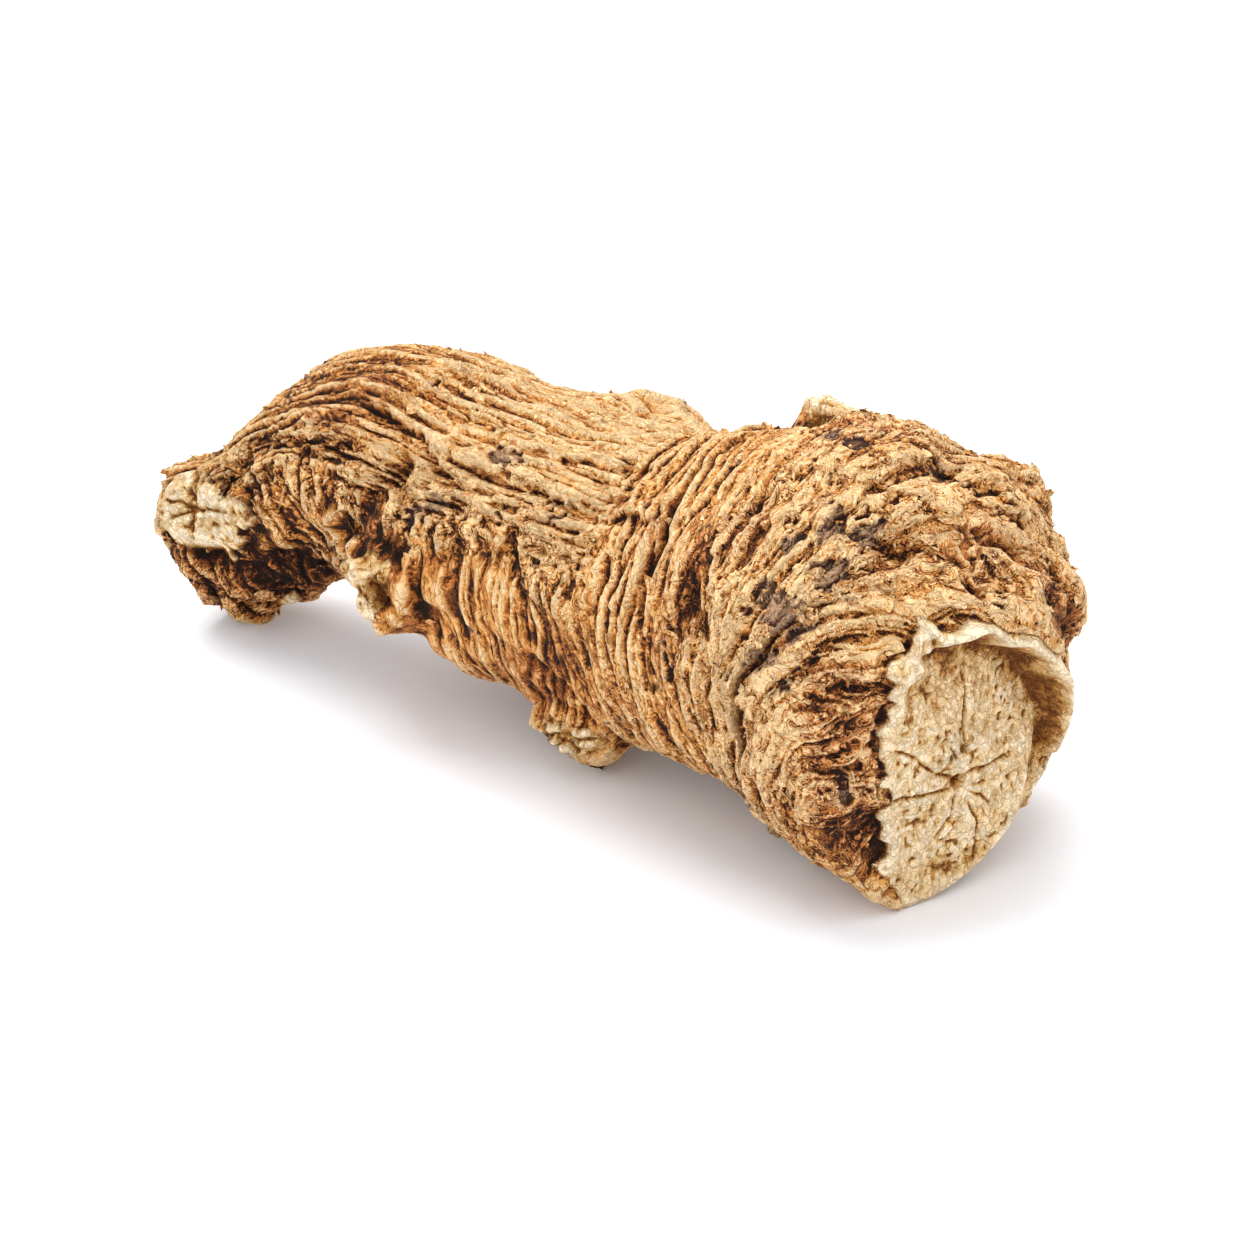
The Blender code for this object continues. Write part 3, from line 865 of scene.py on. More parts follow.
@dataclass
class SawnWood:
    """The cream wood of the sawn faces: shrunk inside a rolled rim, cracked from the pith, and pored."""

    crown_depth: float = 1.5
    stub_depth: float = 0.6
    stub_round: float = 0.8
    worn: tuple = (
        WornEnd((-9.6, -10.9, 9.6), (-0.5, -0.8, 0.25), 1.0, 2.1, 0.1, 0.58, (-9.5, -10.8, 9.4)),
        WornEnd((-8.3, -10.7, 9.5), (0.1, -0.95, 0.2), 0.7, 1.2, 0.0, 0.34),
        WornEnd((3.7, -7.8, 2.8), (0.0, -0.9, -0.1), 2.0, 1.0, 0.2, 0.64, (3.6, -7.8, 3.1), FOOT_CRACKS),
        WornEnd(
            (-25.9, -7.1, 8.0), (-0.12, -0.88, 0.42), 4.0, 2.3, 0.2, 0.76, (-26.3, -7.0, 8.1), FORK_CRACKS
        ),
        WornEnd((-21.3, -4.4, 2.6), (0.6, -0.5, -0.4), 0.8, 0.7, 0.3, 0.4),
        WornEnd((13.5, 3.4, 23.5), (-0.15, -0.5, 0.85), 1.5, 1.3, 0.2, 0.8),
        WornEnd((14.5, 1.5, 22.9), (0.2, -0.6, 0.75), 0.9, 0.7, 0.0, 0.3),
    )
    # Drying cracks of the crown's face, as points across and up it from its centre
    cracks: tuple = (
        ((-4.1, 1.9), (-1.9, 0.0), (0.0, -1.3)),
        ((-4.0, -1.5), (-2.1, -1.8), (-0.1, -1.9)),
        ((4.5, -1.6), (2.7, -1.5), (1.1, -1.3)),
        ((2.5, -2.4), (1.5, -2.0)),
        ((1.4, 4.3), (1.6, 3.1), (1.2, 1.7), (1.3, -0.2)),
        ((-0.3, 1.6), (0.0, 0.6), (0.3, -0.2)),
        ((-0.8, -4.8), (0.0, -3.8), (0.3, -2.6)),
        ((1.8, -7.2), (1.9, -6.2), (2.0, -4.9), (1.4, -3.2)),
        ((2.9, -3.8), (2.2, -3.0), (1.3, -2.3)),
    )
    pith: tuple[float, float] = (0.6, -1.7)
    # Rim of the crown's bare wood, as points across and up its cut; bark overlaps the cut on the near side
    rim: tuple = (
        (-4.4, 6.6), (-4.6, 2.6), (-4.3, -2.5), (-3.6, -6.6), (-2.5, -8.8), (0.4, -8.4), (3.0, -7.9),
        (5.1, -6.6), (7.2, -5.6), (8.8, -4.0), (8.8, -0.2), (8.0, 2.2), (6.8, 4.1), (5.2, 6.0), (3.1, 7.3),
        (0.6, 8.5), (-2.2, 8.3),
    )

    def crown_face(self, plane: CutPlane, points: Array) -> tuple[Array, Array, Array]:
        """Shape and colour the crown's face.

        Args:
            plane: The crown's cut.
            points: The skin's points.

        Returns:
            Each point's move along the cut's normal, its share of bare wood, and its tone.
        """
        across, rise, _ = plane.on_face(points)
        radius, turn = self.in_rim(across, rise)
        overlap = blend(across, -0.5, -3.0)
        radius = radius + 0.008 * np.sin(17 * turn + 2)
        radius += (0.04 + 0.09 * overlap) * value_noise(points / (3, 1.1, 1.1) + 5)
        radius += 0.06 * overlap * value_noise(points / 0.55 + 15)
        upper_right = blend((0.73 * (across - 1.9) + 0.68 * (rise + 0.3)) / 7, -0.35, 0.75)
        dish = blend(radius, 0.95, 0.76)
        depth = self.crown_depth * (0.06 + 1.4 * upper_right) * dish
        lip = np.exp(-(((radius - 0.97) / 0.05) ** 2)) * 0.85 * upper_right
        flat = np.stack([across, rise, 0 * across], axis=1)
        wood = blend(radius, 1.05, 1.0)
        groove = np.zeros(len(points))
        bent = flat + 0.12 * value_noise(flat / 0.9 + 8)[:, None]
        for crack in self.cracks:
            for start, end in zip(crack, crack[1:]):
                distance, _ = near_line(bent, np.array((*start, 0.0)), np.array((*end, 0.0)))
                groove = np.maximum(groove, np.exp(-((distance / 0.1) ** 2)))
        hole = np.exp(-((np.hypot(across - self.pith[0], rise - self.pith[1]) / 0.4) ** 2))
        spin = np.stack([radius * 5.5, 3.2 * np.cos(turn), 3.2 * np.sin(turn)], axis=1)
        rays = 0.4 - np.abs(value_noise(spin * (0.5, 2, 2) + 9))
        rays = rays * blend(radius, 0.85, 0.6) * blend(radius, 0.15, 0.35)
        creases = 0.4 - np.abs(value_noise(flat / 0.8 + 19)) - 0.6 * np.abs(value_noise(flat / 0.42 + 29))
        wrinkled = 0.45 * rough_noise(flat / 1.1 + 3, 4) + 0.35 * rays + 0.3 * creases
        pores = blend(value_noise(flat / 0.3 + 40), 0.3, 0.6) * blend(value_noise(flat / 1.5 + 80), -0.4, 0.3)
        painted_wall_shade = blend(radius, 0.72, 0.86) * blend(radius, 1.0, 0.93) * upper_right
        blot = blend(rough_noise(flat / 2.4 + 70, 3), 0.12, 0.5)
        move = lip - depth - 0.28 * groove - 0.9 * hole + dish * (0.3 * wrinkled - 0.12 * pores)
        # Painted shade darkens the cracks, the pith hole and the dish's inner wall
        tone = 0.7 + 0.42 * wrinkled - 0.5 * groove - 0.28 * pores - 0.5 * hole - 0.22 * painted_wall_shade - 0.25 * blot
        # Amber and painted shade darken the face towards its top and into its deep upper-right dish
        tone -= 0.12 * blend(rise, 1.0, 4.5) * blend(radius, 0.95, 0.8)
        tone -= 0.2 * upper_right * blend(radius, 0.4, 0.8) * blend(radius, 0.95, 0.85)
        tone += 0.15 * upper_right * np.exp(-(((radius - 1.0) / 0.05) ** 2))
        return move, wood, tone

    def in_rim(self, across: Array, rise: Array) -> tuple[Array, Array]:
        """Find each point's place within the face's uneven rim.

        Args:
            across: Places across the face, in mm.
            rise: Places up the face, in mm.

        Returns:
            The share of the way from the face's middle to its rim, and the angle there.
        """
        middle = np.array((1.9, -0.3))
        rim = np.array(self.rim) - middle
        turns, reaches = np.arctan2(rim[:, 1], rim[:, 0]), np.hypot(rim[:, 0], rim[:, 1])
        order = np.argsort(turns)
        turn = np.arctan2(rise - middle[1], across - middle[0])
        reach = np.interp(turn, turns[order], reaches[order], period=2 * math.pi)
        return np.hypot(across - middle[0], rise - middle[1]) / reach, turn

    def stub_face(self, plane: CutPlane, points: Array, seed: float) -> tuple[Array, Array, Array]:
        """Shape and colour one small stub's star-shaped face.

        Args:
            plane: The stub's cut.
            points: The skin's points.
            seed: A number that makes each star unlike the others.

        Returns:
            Each point's move along the cut's normal, its share of bare wood, and its tone.
        """
        across, rise, _ = plane.on_face(points)
        radius = np.hypot(across / plane.half_width, rise / plane.half_height)
        turn = np.arctan2(rise, across)
        radius = radius + 0.07 * np.sin(3 * turn + seed) + 0.05 * np.sin(7 * turn + 2 * seed)
        star = 0.5 + 0.5 * np.cos(5 * turn + seed + 0.8 * np.sin(2 * turn))
        hollow = blend(radius, 0.85, 0.3) * (0.35 + 0.65 * star)
        lip = np.exp(-(((radius - 0.92) / 0.14) ** 2))
        grain = rough_noise(points / 0.6 + seed, 2)
        move = 0.2 * lip - self.stub_depth * hollow + 0.08 * grain
        move = move - self.stub_round * np.minimum(radius, 1.2) ** 3
        wood = blend(radius, 1.08, 0.95)
        # The star hollow is darker, with amber wood and painted shade
        tone = 0.62 + 0.2 * grain - 0.55 * hollow * blend(radius, 0.7, 0.2)
        return move, wood, tone

    def apply(self, skin: Skin, form: RootForm) -> Array:
        """Shape every sawn face and worn end, and set the skin's wood share and tone there.

        Args:
            skin: The skin.
            form: The form, for its cuts and its place in the frame.

        Returns:
            Each point's move in mm.
        """
        moves = np.zeros_like(skin.points)
        for index, (name, plane) in enumerate(form.cuts().items()):
            across, rise, out = plane.on_face(skin.points)
            reach = np.hypot(across / plane.half_width, rise / plane.half_height)
            # How squarely skin has to look along the cut to belong to it, and how near it has to be in mm
            level, deep = (0.1, 2.2) if name == "crown" else (0.45, 0.9)
            facing = blend(skin.normals @ plane.normal, level, level + 0.35) * (np.abs(out) < deep)
            facing = facing * blend(reach, 1.7, 1.5)
            if name == "crown":
                move, wood, tone = self.crown_face(plane, skin.points)
            else:
                move, wood, tone = self.stub_face(plane, skin.points, 1.7 * index)
            moves += (facing * move)[:, None] * plane.normal
            skin.bare(facing * wood, tone)
        for end in self.worn:
            move, share, tone = end.relief(skin, form)
            moves += move
            skin.bare(share, tone)
        return moves


# ---------------------------------------------------------------------------- the root's main piece


@dataclass
class RootBody:
    """The whole woody root with its bark relief and sawn faces: one closed mesh."""

    form: RootForm = field(default_factory=RootForm)
    bark: BarkRelief = field(default_factory=BarkRelief)
    sawn: SawnWood = field(default_factory=SawnWood)
    triangles: int = 192000
    # Rounds of smoothing that bring out crevices of one width, and the strength of their painted shade and
    # highlight
    crevices: tuple = ((2, 0.075), (9, 0.1), (30, 0.08), (90, 0.06))
    clear_of_table: float = 0.9  # mm above the table below which no flake stands, so none pokes through it

    def build(self) -> bpy.types.Object:
        """Make the mesh, raise its relief, thin it and store its tones.

        Returns:
            The piece.
        """
        mesh = self.form.fused_mesh()
        points, normals = mesh_arrays(mesh)
        skin = Skin.of(points, normals, self.form)
        moves = self.sawn.apply(skin, self.form)
        sawn_tone = skin.tone.copy()
        height = self.bark.heights(skin, self.form)
        placed = points + moves + normals * (height * (1 - skin.wood))[:, None] + self.form.settled
        placed += normals * self.bark.swells(points + self.form.settled)[:, None]
        placed[:, 2] = np.maximum(placed[:, 2], 0)
        set_points(mesh, placed)
        skin.tone = self.tones(mesh, placed, skin, sawn_tone)
        for name in ("tone", "patch", "wood", "warm", "ringed", "flaky"):
            store(mesh, name, getattr(skin, name))
        store(mesh, "grain", skin.place())
        store(mesh, "flow", skin.flow())
        shed = (0.1 + 0.9 * skin.flaky) * (1 - blend(skin.wood, 0.02, 0.3))
        shed = shed * (1 - 0.8 * blend(skin.patch, -0.1, 0.1)) * (placed[:, 2] > self.clear_of_table)
        for flakes in ALL_FLAKES:
            first, last = flakes.reach
            store(mesh, flakes.name, shed * ((skin.along >= first) & (skin.along < last)))
        LOG.info("root body before thinning: %d points", len(placed))
        mesh.calc_loop_triangles()
        ratio = min(1.0, self.triangles / len(mesh.loop_triangles))
        mesh = with_modifiers(mesh, ("DECIMATE", {"ratio": ratio, "use_collapse_triangulate": True}))
        mesh.name = "root_body"
        mesh.shade_smooth()
        return in_scene("root_body", mesh)

    @staticmethod
    def dress(body: bpy.types.Object, finish: bpy.types.Material) -> None:
        """Put the finish on the whole piece."""
        body.data.materials.clear()
        body.data.materials.append(finish)

    def tones(self, mesh: bpy.types.Mesh, points: Array, skin: Skin, sawn: Array) -> Array:
        """Paint shade into the skin's crevices and highlights onto its ridges, by how it bends.

        Args:
            mesh: The finished mesh.
            points: Its points in mm.
            skin: The skin's own tones and wood share.
            sawn: Tones of the bare wood.

        Returns:
            Tones from 0 in crevices to 1 on ridges.
        """
        edges = np.empty(len(mesh.edges) * 2, np.int32)
        mesh.edges.foreach_get("vertices", edges)
        first, second = edges.reshape(-1, 2).T
        count = np.bincount(np.concatenate([first, second]), minlength=len(points))[:, None]
        _, normals = mesh_arrays(mesh)
        tone = np.full(len(points), 0.5) + skin.tone * (1 - skin.wood)
        hollow = np.zeros(len(points))
        bark = skin.wood < 0.1
        soft = points.copy()
        done = 0
        for steps, weight in self.crevices:
            for _ in range(steps - done):
                total = np.zeros_like(soft)
                for axis in range(3):
                    total[:, axis] = np.bincount(first, soft[second, axis], len(points))
                    total[:, axis] += np.bincount(second, soft[first, axis], len(points))
                soft = 0.3 * soft + 0.7 * total / count
            done = steps
            # Painted shade where the skin sinks below its smoothed self, and painted highlight where it
            # stands proud
            painted_shade_and_highlight = ((points - soft) * normals).sum(axis=1)
            painted_shade_and_highlight = weight * np.clip(painted_shade_and_highlight / painted_shade_and_highlight[bark].std(), -2.6, 2.0)
            tone += painted_shade_and_highlight
            hollow += painted_shade_and_highlight
        return np.clip(tone * (1 - skin.wood) + (sawn + 1.1 * hollow) * skin.wood, 0, 1)


def mesh_arrays(mesh: bpy.types.Mesh) -> tuple[Array, Array]:
    """Read a mesh.

    Args:
        mesh: The mesh.

    Returns:
        Its points in mm and its normals, as rows.
    """
    count = len(mesh.vertices)
    points, normals = np.empty(count * 3), np.empty(count * 3)
    mesh.vertices.foreach_get("co", points)
    mesh.vertices.foreach_get("normal", normals)
    return points.reshape(-1, 3) / MM, normals.reshape(-1, 3)


def set_points(mesh: bpy.types.Mesh, points: Array) -> None:
    """Move a mesh's points to these places in mm."""
    mesh.vertices.foreach_set("co", (points * MM).ravel())
    mesh.update()


def store(mesh: bpy.types.Mesh, name: str, values: Array) -> None:
    """Store one number or one vector a point as a named attribute.

    Args:
        mesh: Where to store them.
        name: The attribute's name.
        values: The numbers, or rows of three.
    """
    kind, key = ("FLOAT", "value") if values.ndim == 1 else ("FLOAT_VECTOR", "vector")
    attribute = mesh.attributes.new(name, kind, "POINT")
    attribute.data.foreach_set(key, np.ascontiguousarray(values, np.float32).ravel())


# ---------------------------------------------------------------------------- nodes


class NodeBuilder:
    """Adds and links nodes in one tree, of a material or of geometry."""

    def __init__(self, tree: bpy.types.NodeTree) -> None:
        """Start from an empty tree."""
        self.tree = tree
        self.tree.nodes.clear()

    def add(self, kind: str, values: dict | None = None, **settings: object) -> bpy.types.Node:
        """Add a node.

        Args:
            kind: Blender's type name.
            values: Input name or index to a number, a colour, or another node's output to link.
            settings: Properties of the node itself.

        Returns:
            The node.
        """
        node = self.tree.nodes.new(kind)
        for key, value in settings.items():
            setattr(node, key, value)
        for key, value in (values or {}).items():
            if isinstance(value, bpy.types.NodeSocket):
                self.tree.links.new(value, node.inputs[key])
            else:
                node.inputs[key].default_value = value
        return node

    def ramp(self, factor: bpy.types.NodeSocket, stops: tuple) -> bpy.types.NodeSocket:
        """Add a colour ramp.

        Args:
            factor: What it reads.
            stops: Pairs of place and sRGB hex colour.

        Returns:
            The colour.
        """
        node = self.add("ShaderNodeValToRGB", {"Fac": factor})
        elements = node.color_ramp.elements
        while len(elements) < len(stops):
            elements.new(0.5)
        for element, (place, colour) in zip(elements, stops):
            element.position = place
            element.color = linear(colour)
        return node.outputs["Color"]

    def mixed(self, factor: object, first: object, second: object) -> bpy.types.NodeSocket:
        """Mix two colours by a factor."""
        return self.add("ShaderNodeMix", {"Factor": factor, 6: first, 7: second}, data_type="RGBA").outputs[2]

    def maths(self, operation: str, *values: object, clamp: bool = False) -> bpy.types.NodeSocket:
        """Do one step of arithmetic."""
        inputs = dict(enumerate(values))
        return self.add("ShaderNodeMath", inputs, operation=operation, use_clamp=clamp).outputs[0]

    def plus_times(self, base: object, value: object, share: float, clamp: bool = False) -> object:
        """Add a share of a value to a base, and return the socket."""
        return self.maths("MULTIPLY_ADD", value, share, base, clamp=clamp)

    def vector_maths(self, operation: str, first: object, second: object) -> bpy.types.NodeSocket:
        """Do one step of arithmetic on vectors."""
        return self.add("ShaderNodeVectorMath", {0: first, 1: second}, operation=operation).outputs[0]

    def attribute(self, name: str, output: str = "Fac") -> bpy.types.NodeSocket:
        """Read a named attribute of the piece."""
        return self.add("ShaderNodeAttribute", attribute_name=name).outputs[output]

    def eased(self, value: object, low: float, high: float) -> bpy.types.NodeSocket:
        """Ease a value, as blend does.

        Args:
            value: What to ease.
            low: Where the result is 0.
            high: Where it is 1, which may be the smaller.

        Returns:
            The eased value.
        """
        start, end = (0.0, 1.0) if low < high else (1.0, 0.0)
        low, high = min(low, high), max(low, high)
        ranges = {"Value": value, 1: low, 2: high, 3: start, 4: end}
        return self.add("ShaderNodeMapRange", ranges, interpolation_type="SMOOTHSTEP").outputs[0]


# ---------------------------------------------------------------------------- loose flakes of bark


class FlakeKind(Enum):
    """The shapes that bark tears into: half length, half width, lift of the tip and thickness, in mm."""

    SCALE = (0.6, 0.4, 0.14, 0.05)
    CURL = (0.35, 0.55, 0.18, 0.05)
    STRIP = (0.7, 0.12, 0.09, 0.05)
    CHIP = (0.24, 0.2, 0.16, 0.07)
    FIBRE = (0.7, 0.04, 0.06, 0.04)


def flake_object(kind: FlakeKind, seed: int) -> bpy.types.Object:
    """Make one thin ragged closed flake, with its foot at -X a little under the skin and its tip curled up.

    Args:
        kind: Its shape.
        seed: Which of its ragged outlines.

    Returns:
        The flake, with each point's share of the way to the tip as an attribute.
    """
    half_length, half_width, lift, thickness = kind.value
    luck = np.random.default_rng(seed)
    count = 11  # points round it: 44 faces in all, because hundreds of flakes stand on the root
    build = bmesh.new()
    layers = []
    turns = 2 * math.pi * (np.arange(count) + luck.uniform(-0.3, 0.3, count)) / count
    reach = luck.uniform(0.6, 1.15, count)
    x = half_length * reach * np.cos(turns)
    y = half_width * reach * np.sin(turns)
    curl = lift * (1.6 * ((x / half_length + 1) / 2) ** 2 - 0.6) + luck.uniform(-0.05, 0.05, count)
    cup = 0.25 * half_width * (y / half_width) ** 2
    for level in (0.0, -thickness):
        places = zip(x, y, curl, cup)
        ring = [build.verts.new((a * MM, b * MM, (c + d + level) * MM)) for a, b, c, d in places]
        middle = build.verts.new((0, 0, (level * 1.3 - 0.1 * lift) * MM))
        layers.append((ring, middle))
    (top, top_middle), (under, under_middle) = layers
    for i in range(count):
        j = (i + 1) % count
        build.faces.new((top_middle, top[i], top[j]))
        build.faces.new((under_middle, under[j], under[i]))
        build.faces.new((top[i], under[i], under[j], top[j]))
    bmesh.ops.triangulate(build, faces=build.faces)
    bmesh.ops.recalc_face_normals(build, faces=build.faces)
    mesh = built_mesh(build, f"{kind.name.lower()}_{seed}")
    points, _ = mesh_arrays(mesh)
    store(mesh, "tip", np.clip(points[:, 0] / half_length / 2 + 0.5, 0, 1))
    return bpy.data.objects.new(mesh.name, mesh)


@dataclass(frozen=True)
class BarkFlakes:
    """Thin curled flakes and fibres that stand on one stretch of the root, all in one piece."""

    name: str
    reach: tuple[float, float]  # from and to, in mm from the crown's cut
    per_mm2: float  # flakes to a square millimetre where the bark is at its flakiest
    seed: int
    size: float = 1.0

    def tree(self, shapes: bpy.types.Collection, material: bpy.types.Material) -> bpy.types.GeometryNodeTree:
        """Make the node group that scatters the shapes over the skin.

        Args:
            shapes: The flakes to pick from.
            material: Their finish.

        Returns:
            The group, with inputs for how many, how large, and the seed.
        """
        tree = bpy.data.node_groups.new(self.name, "GeometryNodeTree")
        sockets = {}
        for label, kind, value in (
            ("Skin", "NodeSocketGeometry", None),
            ("Flakes per square metre", "NodeSocketFloat", 1.0),
            ("Size", "NodeSocketFloat", 1.0),
            ("Seed", "NodeSocketInt", 0),
        ):
            sockets[label] = tree.interface.new_socket(label, in_out="INPUT", socket_type=kind)
            if value is not None:
                sockets[label].default_value = value
        tree.interface.new_socket("Flakes", in_out="OUTPUT", socket_type="NodeSocketGeometry")
        add = NodeBuilder(tree).add

        def chance(low: object, high: object, offset: int, kind: str = "FLOAT") -> bpy.types.NodeSocket:
            """Make a random value for each flake.

            Args:
                low: The least it can be.
                high: The most.
                offset: Added to the seed, so that no two values go together.
                kind: Blender's name for its type.

            Returns:
                The value's socket.
            """
            seed = add("ShaderNodeMath", {0: given.outputs["Seed"], 1: offset}).outputs[0]
            node = add("FunctionNodeRandomValue", {"Seed": seed}, data_type=kind)
            first = {"FLOAT_VECTOR": 0, "FLOAT": 2, "INT": 4}[kind]
            node.inputs[first].default_value, node.inputs[first + 1].default_value = low, high
            return next(socket for socket in node.outputs if socket.enabled)

        given = add("NodeGroupInput")
        share = add("GeometryNodeInputNamedAttribute", {"Name": self.name}, data_type="FLOAT").outputs[0]
        wanted = given.outputs["Flakes per square metre"]
        density = add("ShaderNodeMath", {0: share, 1: wanted}, operation="MULTIPLY")
        spots = add(
            "GeometryNodeDistributePointsOnFaces",
            {"Mesh": given.outputs["Skin"], "Density": density.outputs[0], "Seed": given.outputs["Seed"]},
        )
        flow = add("GeometryNodeInputNamedAttribute", {"Name": "flow"}, data_type="FLOAT_VECTOR").outputs[0]
        upright = add("FunctionNodeAlignRotationToVector", {"Vector": spots.outputs["Normal"]}, axis="Z")
        along = add(
            "FunctionNodeAlignRotationToVector",
            {"Rotation": upright.outputs[0], "Vector": flow},
            axis="X",
            pivot_axis="Z",
        )
        lean = chance((-0.15, -0.08, -0.6), (0.15, 0.08, 0.6), 1, "FLOAT_VECTOR")
        lean = add("FunctionNodeEulerToRotation", {0: lean}).outputs[0]
        turned = add("FunctionNodeRotateRotation", {0: along.outputs[0], 1: lean}, rotation_space="LOCAL")
        picked = add("GeometryNodeCollectionInfo", {"Separate Children": True, "Reset Children": True})
        picked.inputs["Collection"].default_value = shapes
        unlike = chance((0.55, 0.6, 0.6), (1.5, 1.3, 1.3), 2, "FLOAT_VECTOR")
        stretch = add("ShaderNodeVectorMath", {0: unlike, "Scale": given.outputs["Size"]}, operation="SCALE")
        flakes = add(
            "GeometryNodeInstanceOnPoints",
            {
                "Points": spots.outputs["Points"],
                "Instance": picked.outputs[0],
                "Pick Instance": True,
                "Instance Index": chance(0, len(shapes.objects) - 1, 3, "INT"),
                "Rotation": turned.outputs[0],
                "Scale": stretch.outputs[0],
            },
        )
        skin_tone = add("GeometryNodeInputNamedAttribute", {"Name": "tone"}, data_type="FLOAT").outputs[0]
        paler = chance(0.08, 0.3, 4)
        tone = add("ShaderNodeMath", {0: skin_tone, 1: 0.6, 2: paler}, operation="MULTIPLY_ADD")
        toned = add(
            "GeometryNodeStoreNamedAttribute",
            {"Geometry": flakes.outputs[0], "Name": "tone", "Value": tone.outputs[0]},
            data_type="FLOAT",
            domain="INSTANCE",
        )
        real = add("GeometryNodeRealizeInstances", {"Geometry": toned.outputs[0]})
        dressed = add("GeometryNodeSetMaterial", {"Geometry": real.outputs[0], "Material": material})
        add("NodeGroupOutput", {0: dressed.outputs[0]})
        return tree

    def build(self, body: bpy.types.Object, material: bpy.types.Material) -> bpy.types.Object:
        """Scatter the flakes over the body's skin.

        Args:
            body: The root's main piece.
            material: The flakes' finish.

        Returns:
            The flakes as one plain piece.
        """
        shapes = bpy.data.collections.new(f"{self.name}_shapes")
        for number, kind in enumerate(3 * (FlakeKind.SCALE, FlakeKind.CURL, FlakeKind.STRIP, FlakeKind.CHIP)):
            shapes.objects.link(flake_object(kind, self.seed + number))
        shapes.objects.link(flake_object(FlakeKind.FIBRE, self.seed))
        carrier = in_scene(self.name, body.data)
        modifier = carrier.modifiers.new("scatter", "NODES")
        modifier.node_group = self.tree(shapes, material)
        values = {"Flakes per square metre": self.per_mm2 / MM**2, "Size": self.size, "Seed": self.seed}
        for item in modifier.node_group.interface.items_tree:
            if item.name in values:
                modifier[item.identifier] = values[item.name]
        mesh = final_mesh(carrier)
        for shape in list(shapes.objects):
            bpy.data.objects.remove(shape)
        bpy.data.collections.remove(shapes)
        mesh.name = self.name
        return in_scene(self.name, mesh)


ALL_FLAKES = (
    BarkFlakes("crown_flakes", (-9.0, 17.0), 0.5, 11),
    BarkFlakes("middle_flakes", (17.0, 37.0), 0.35, 23),
    BarkFlakes("fork_flakes", (37.0, 80.0), 0.55, 37),
)


# ---------------------------------------------------------------------------- finishes


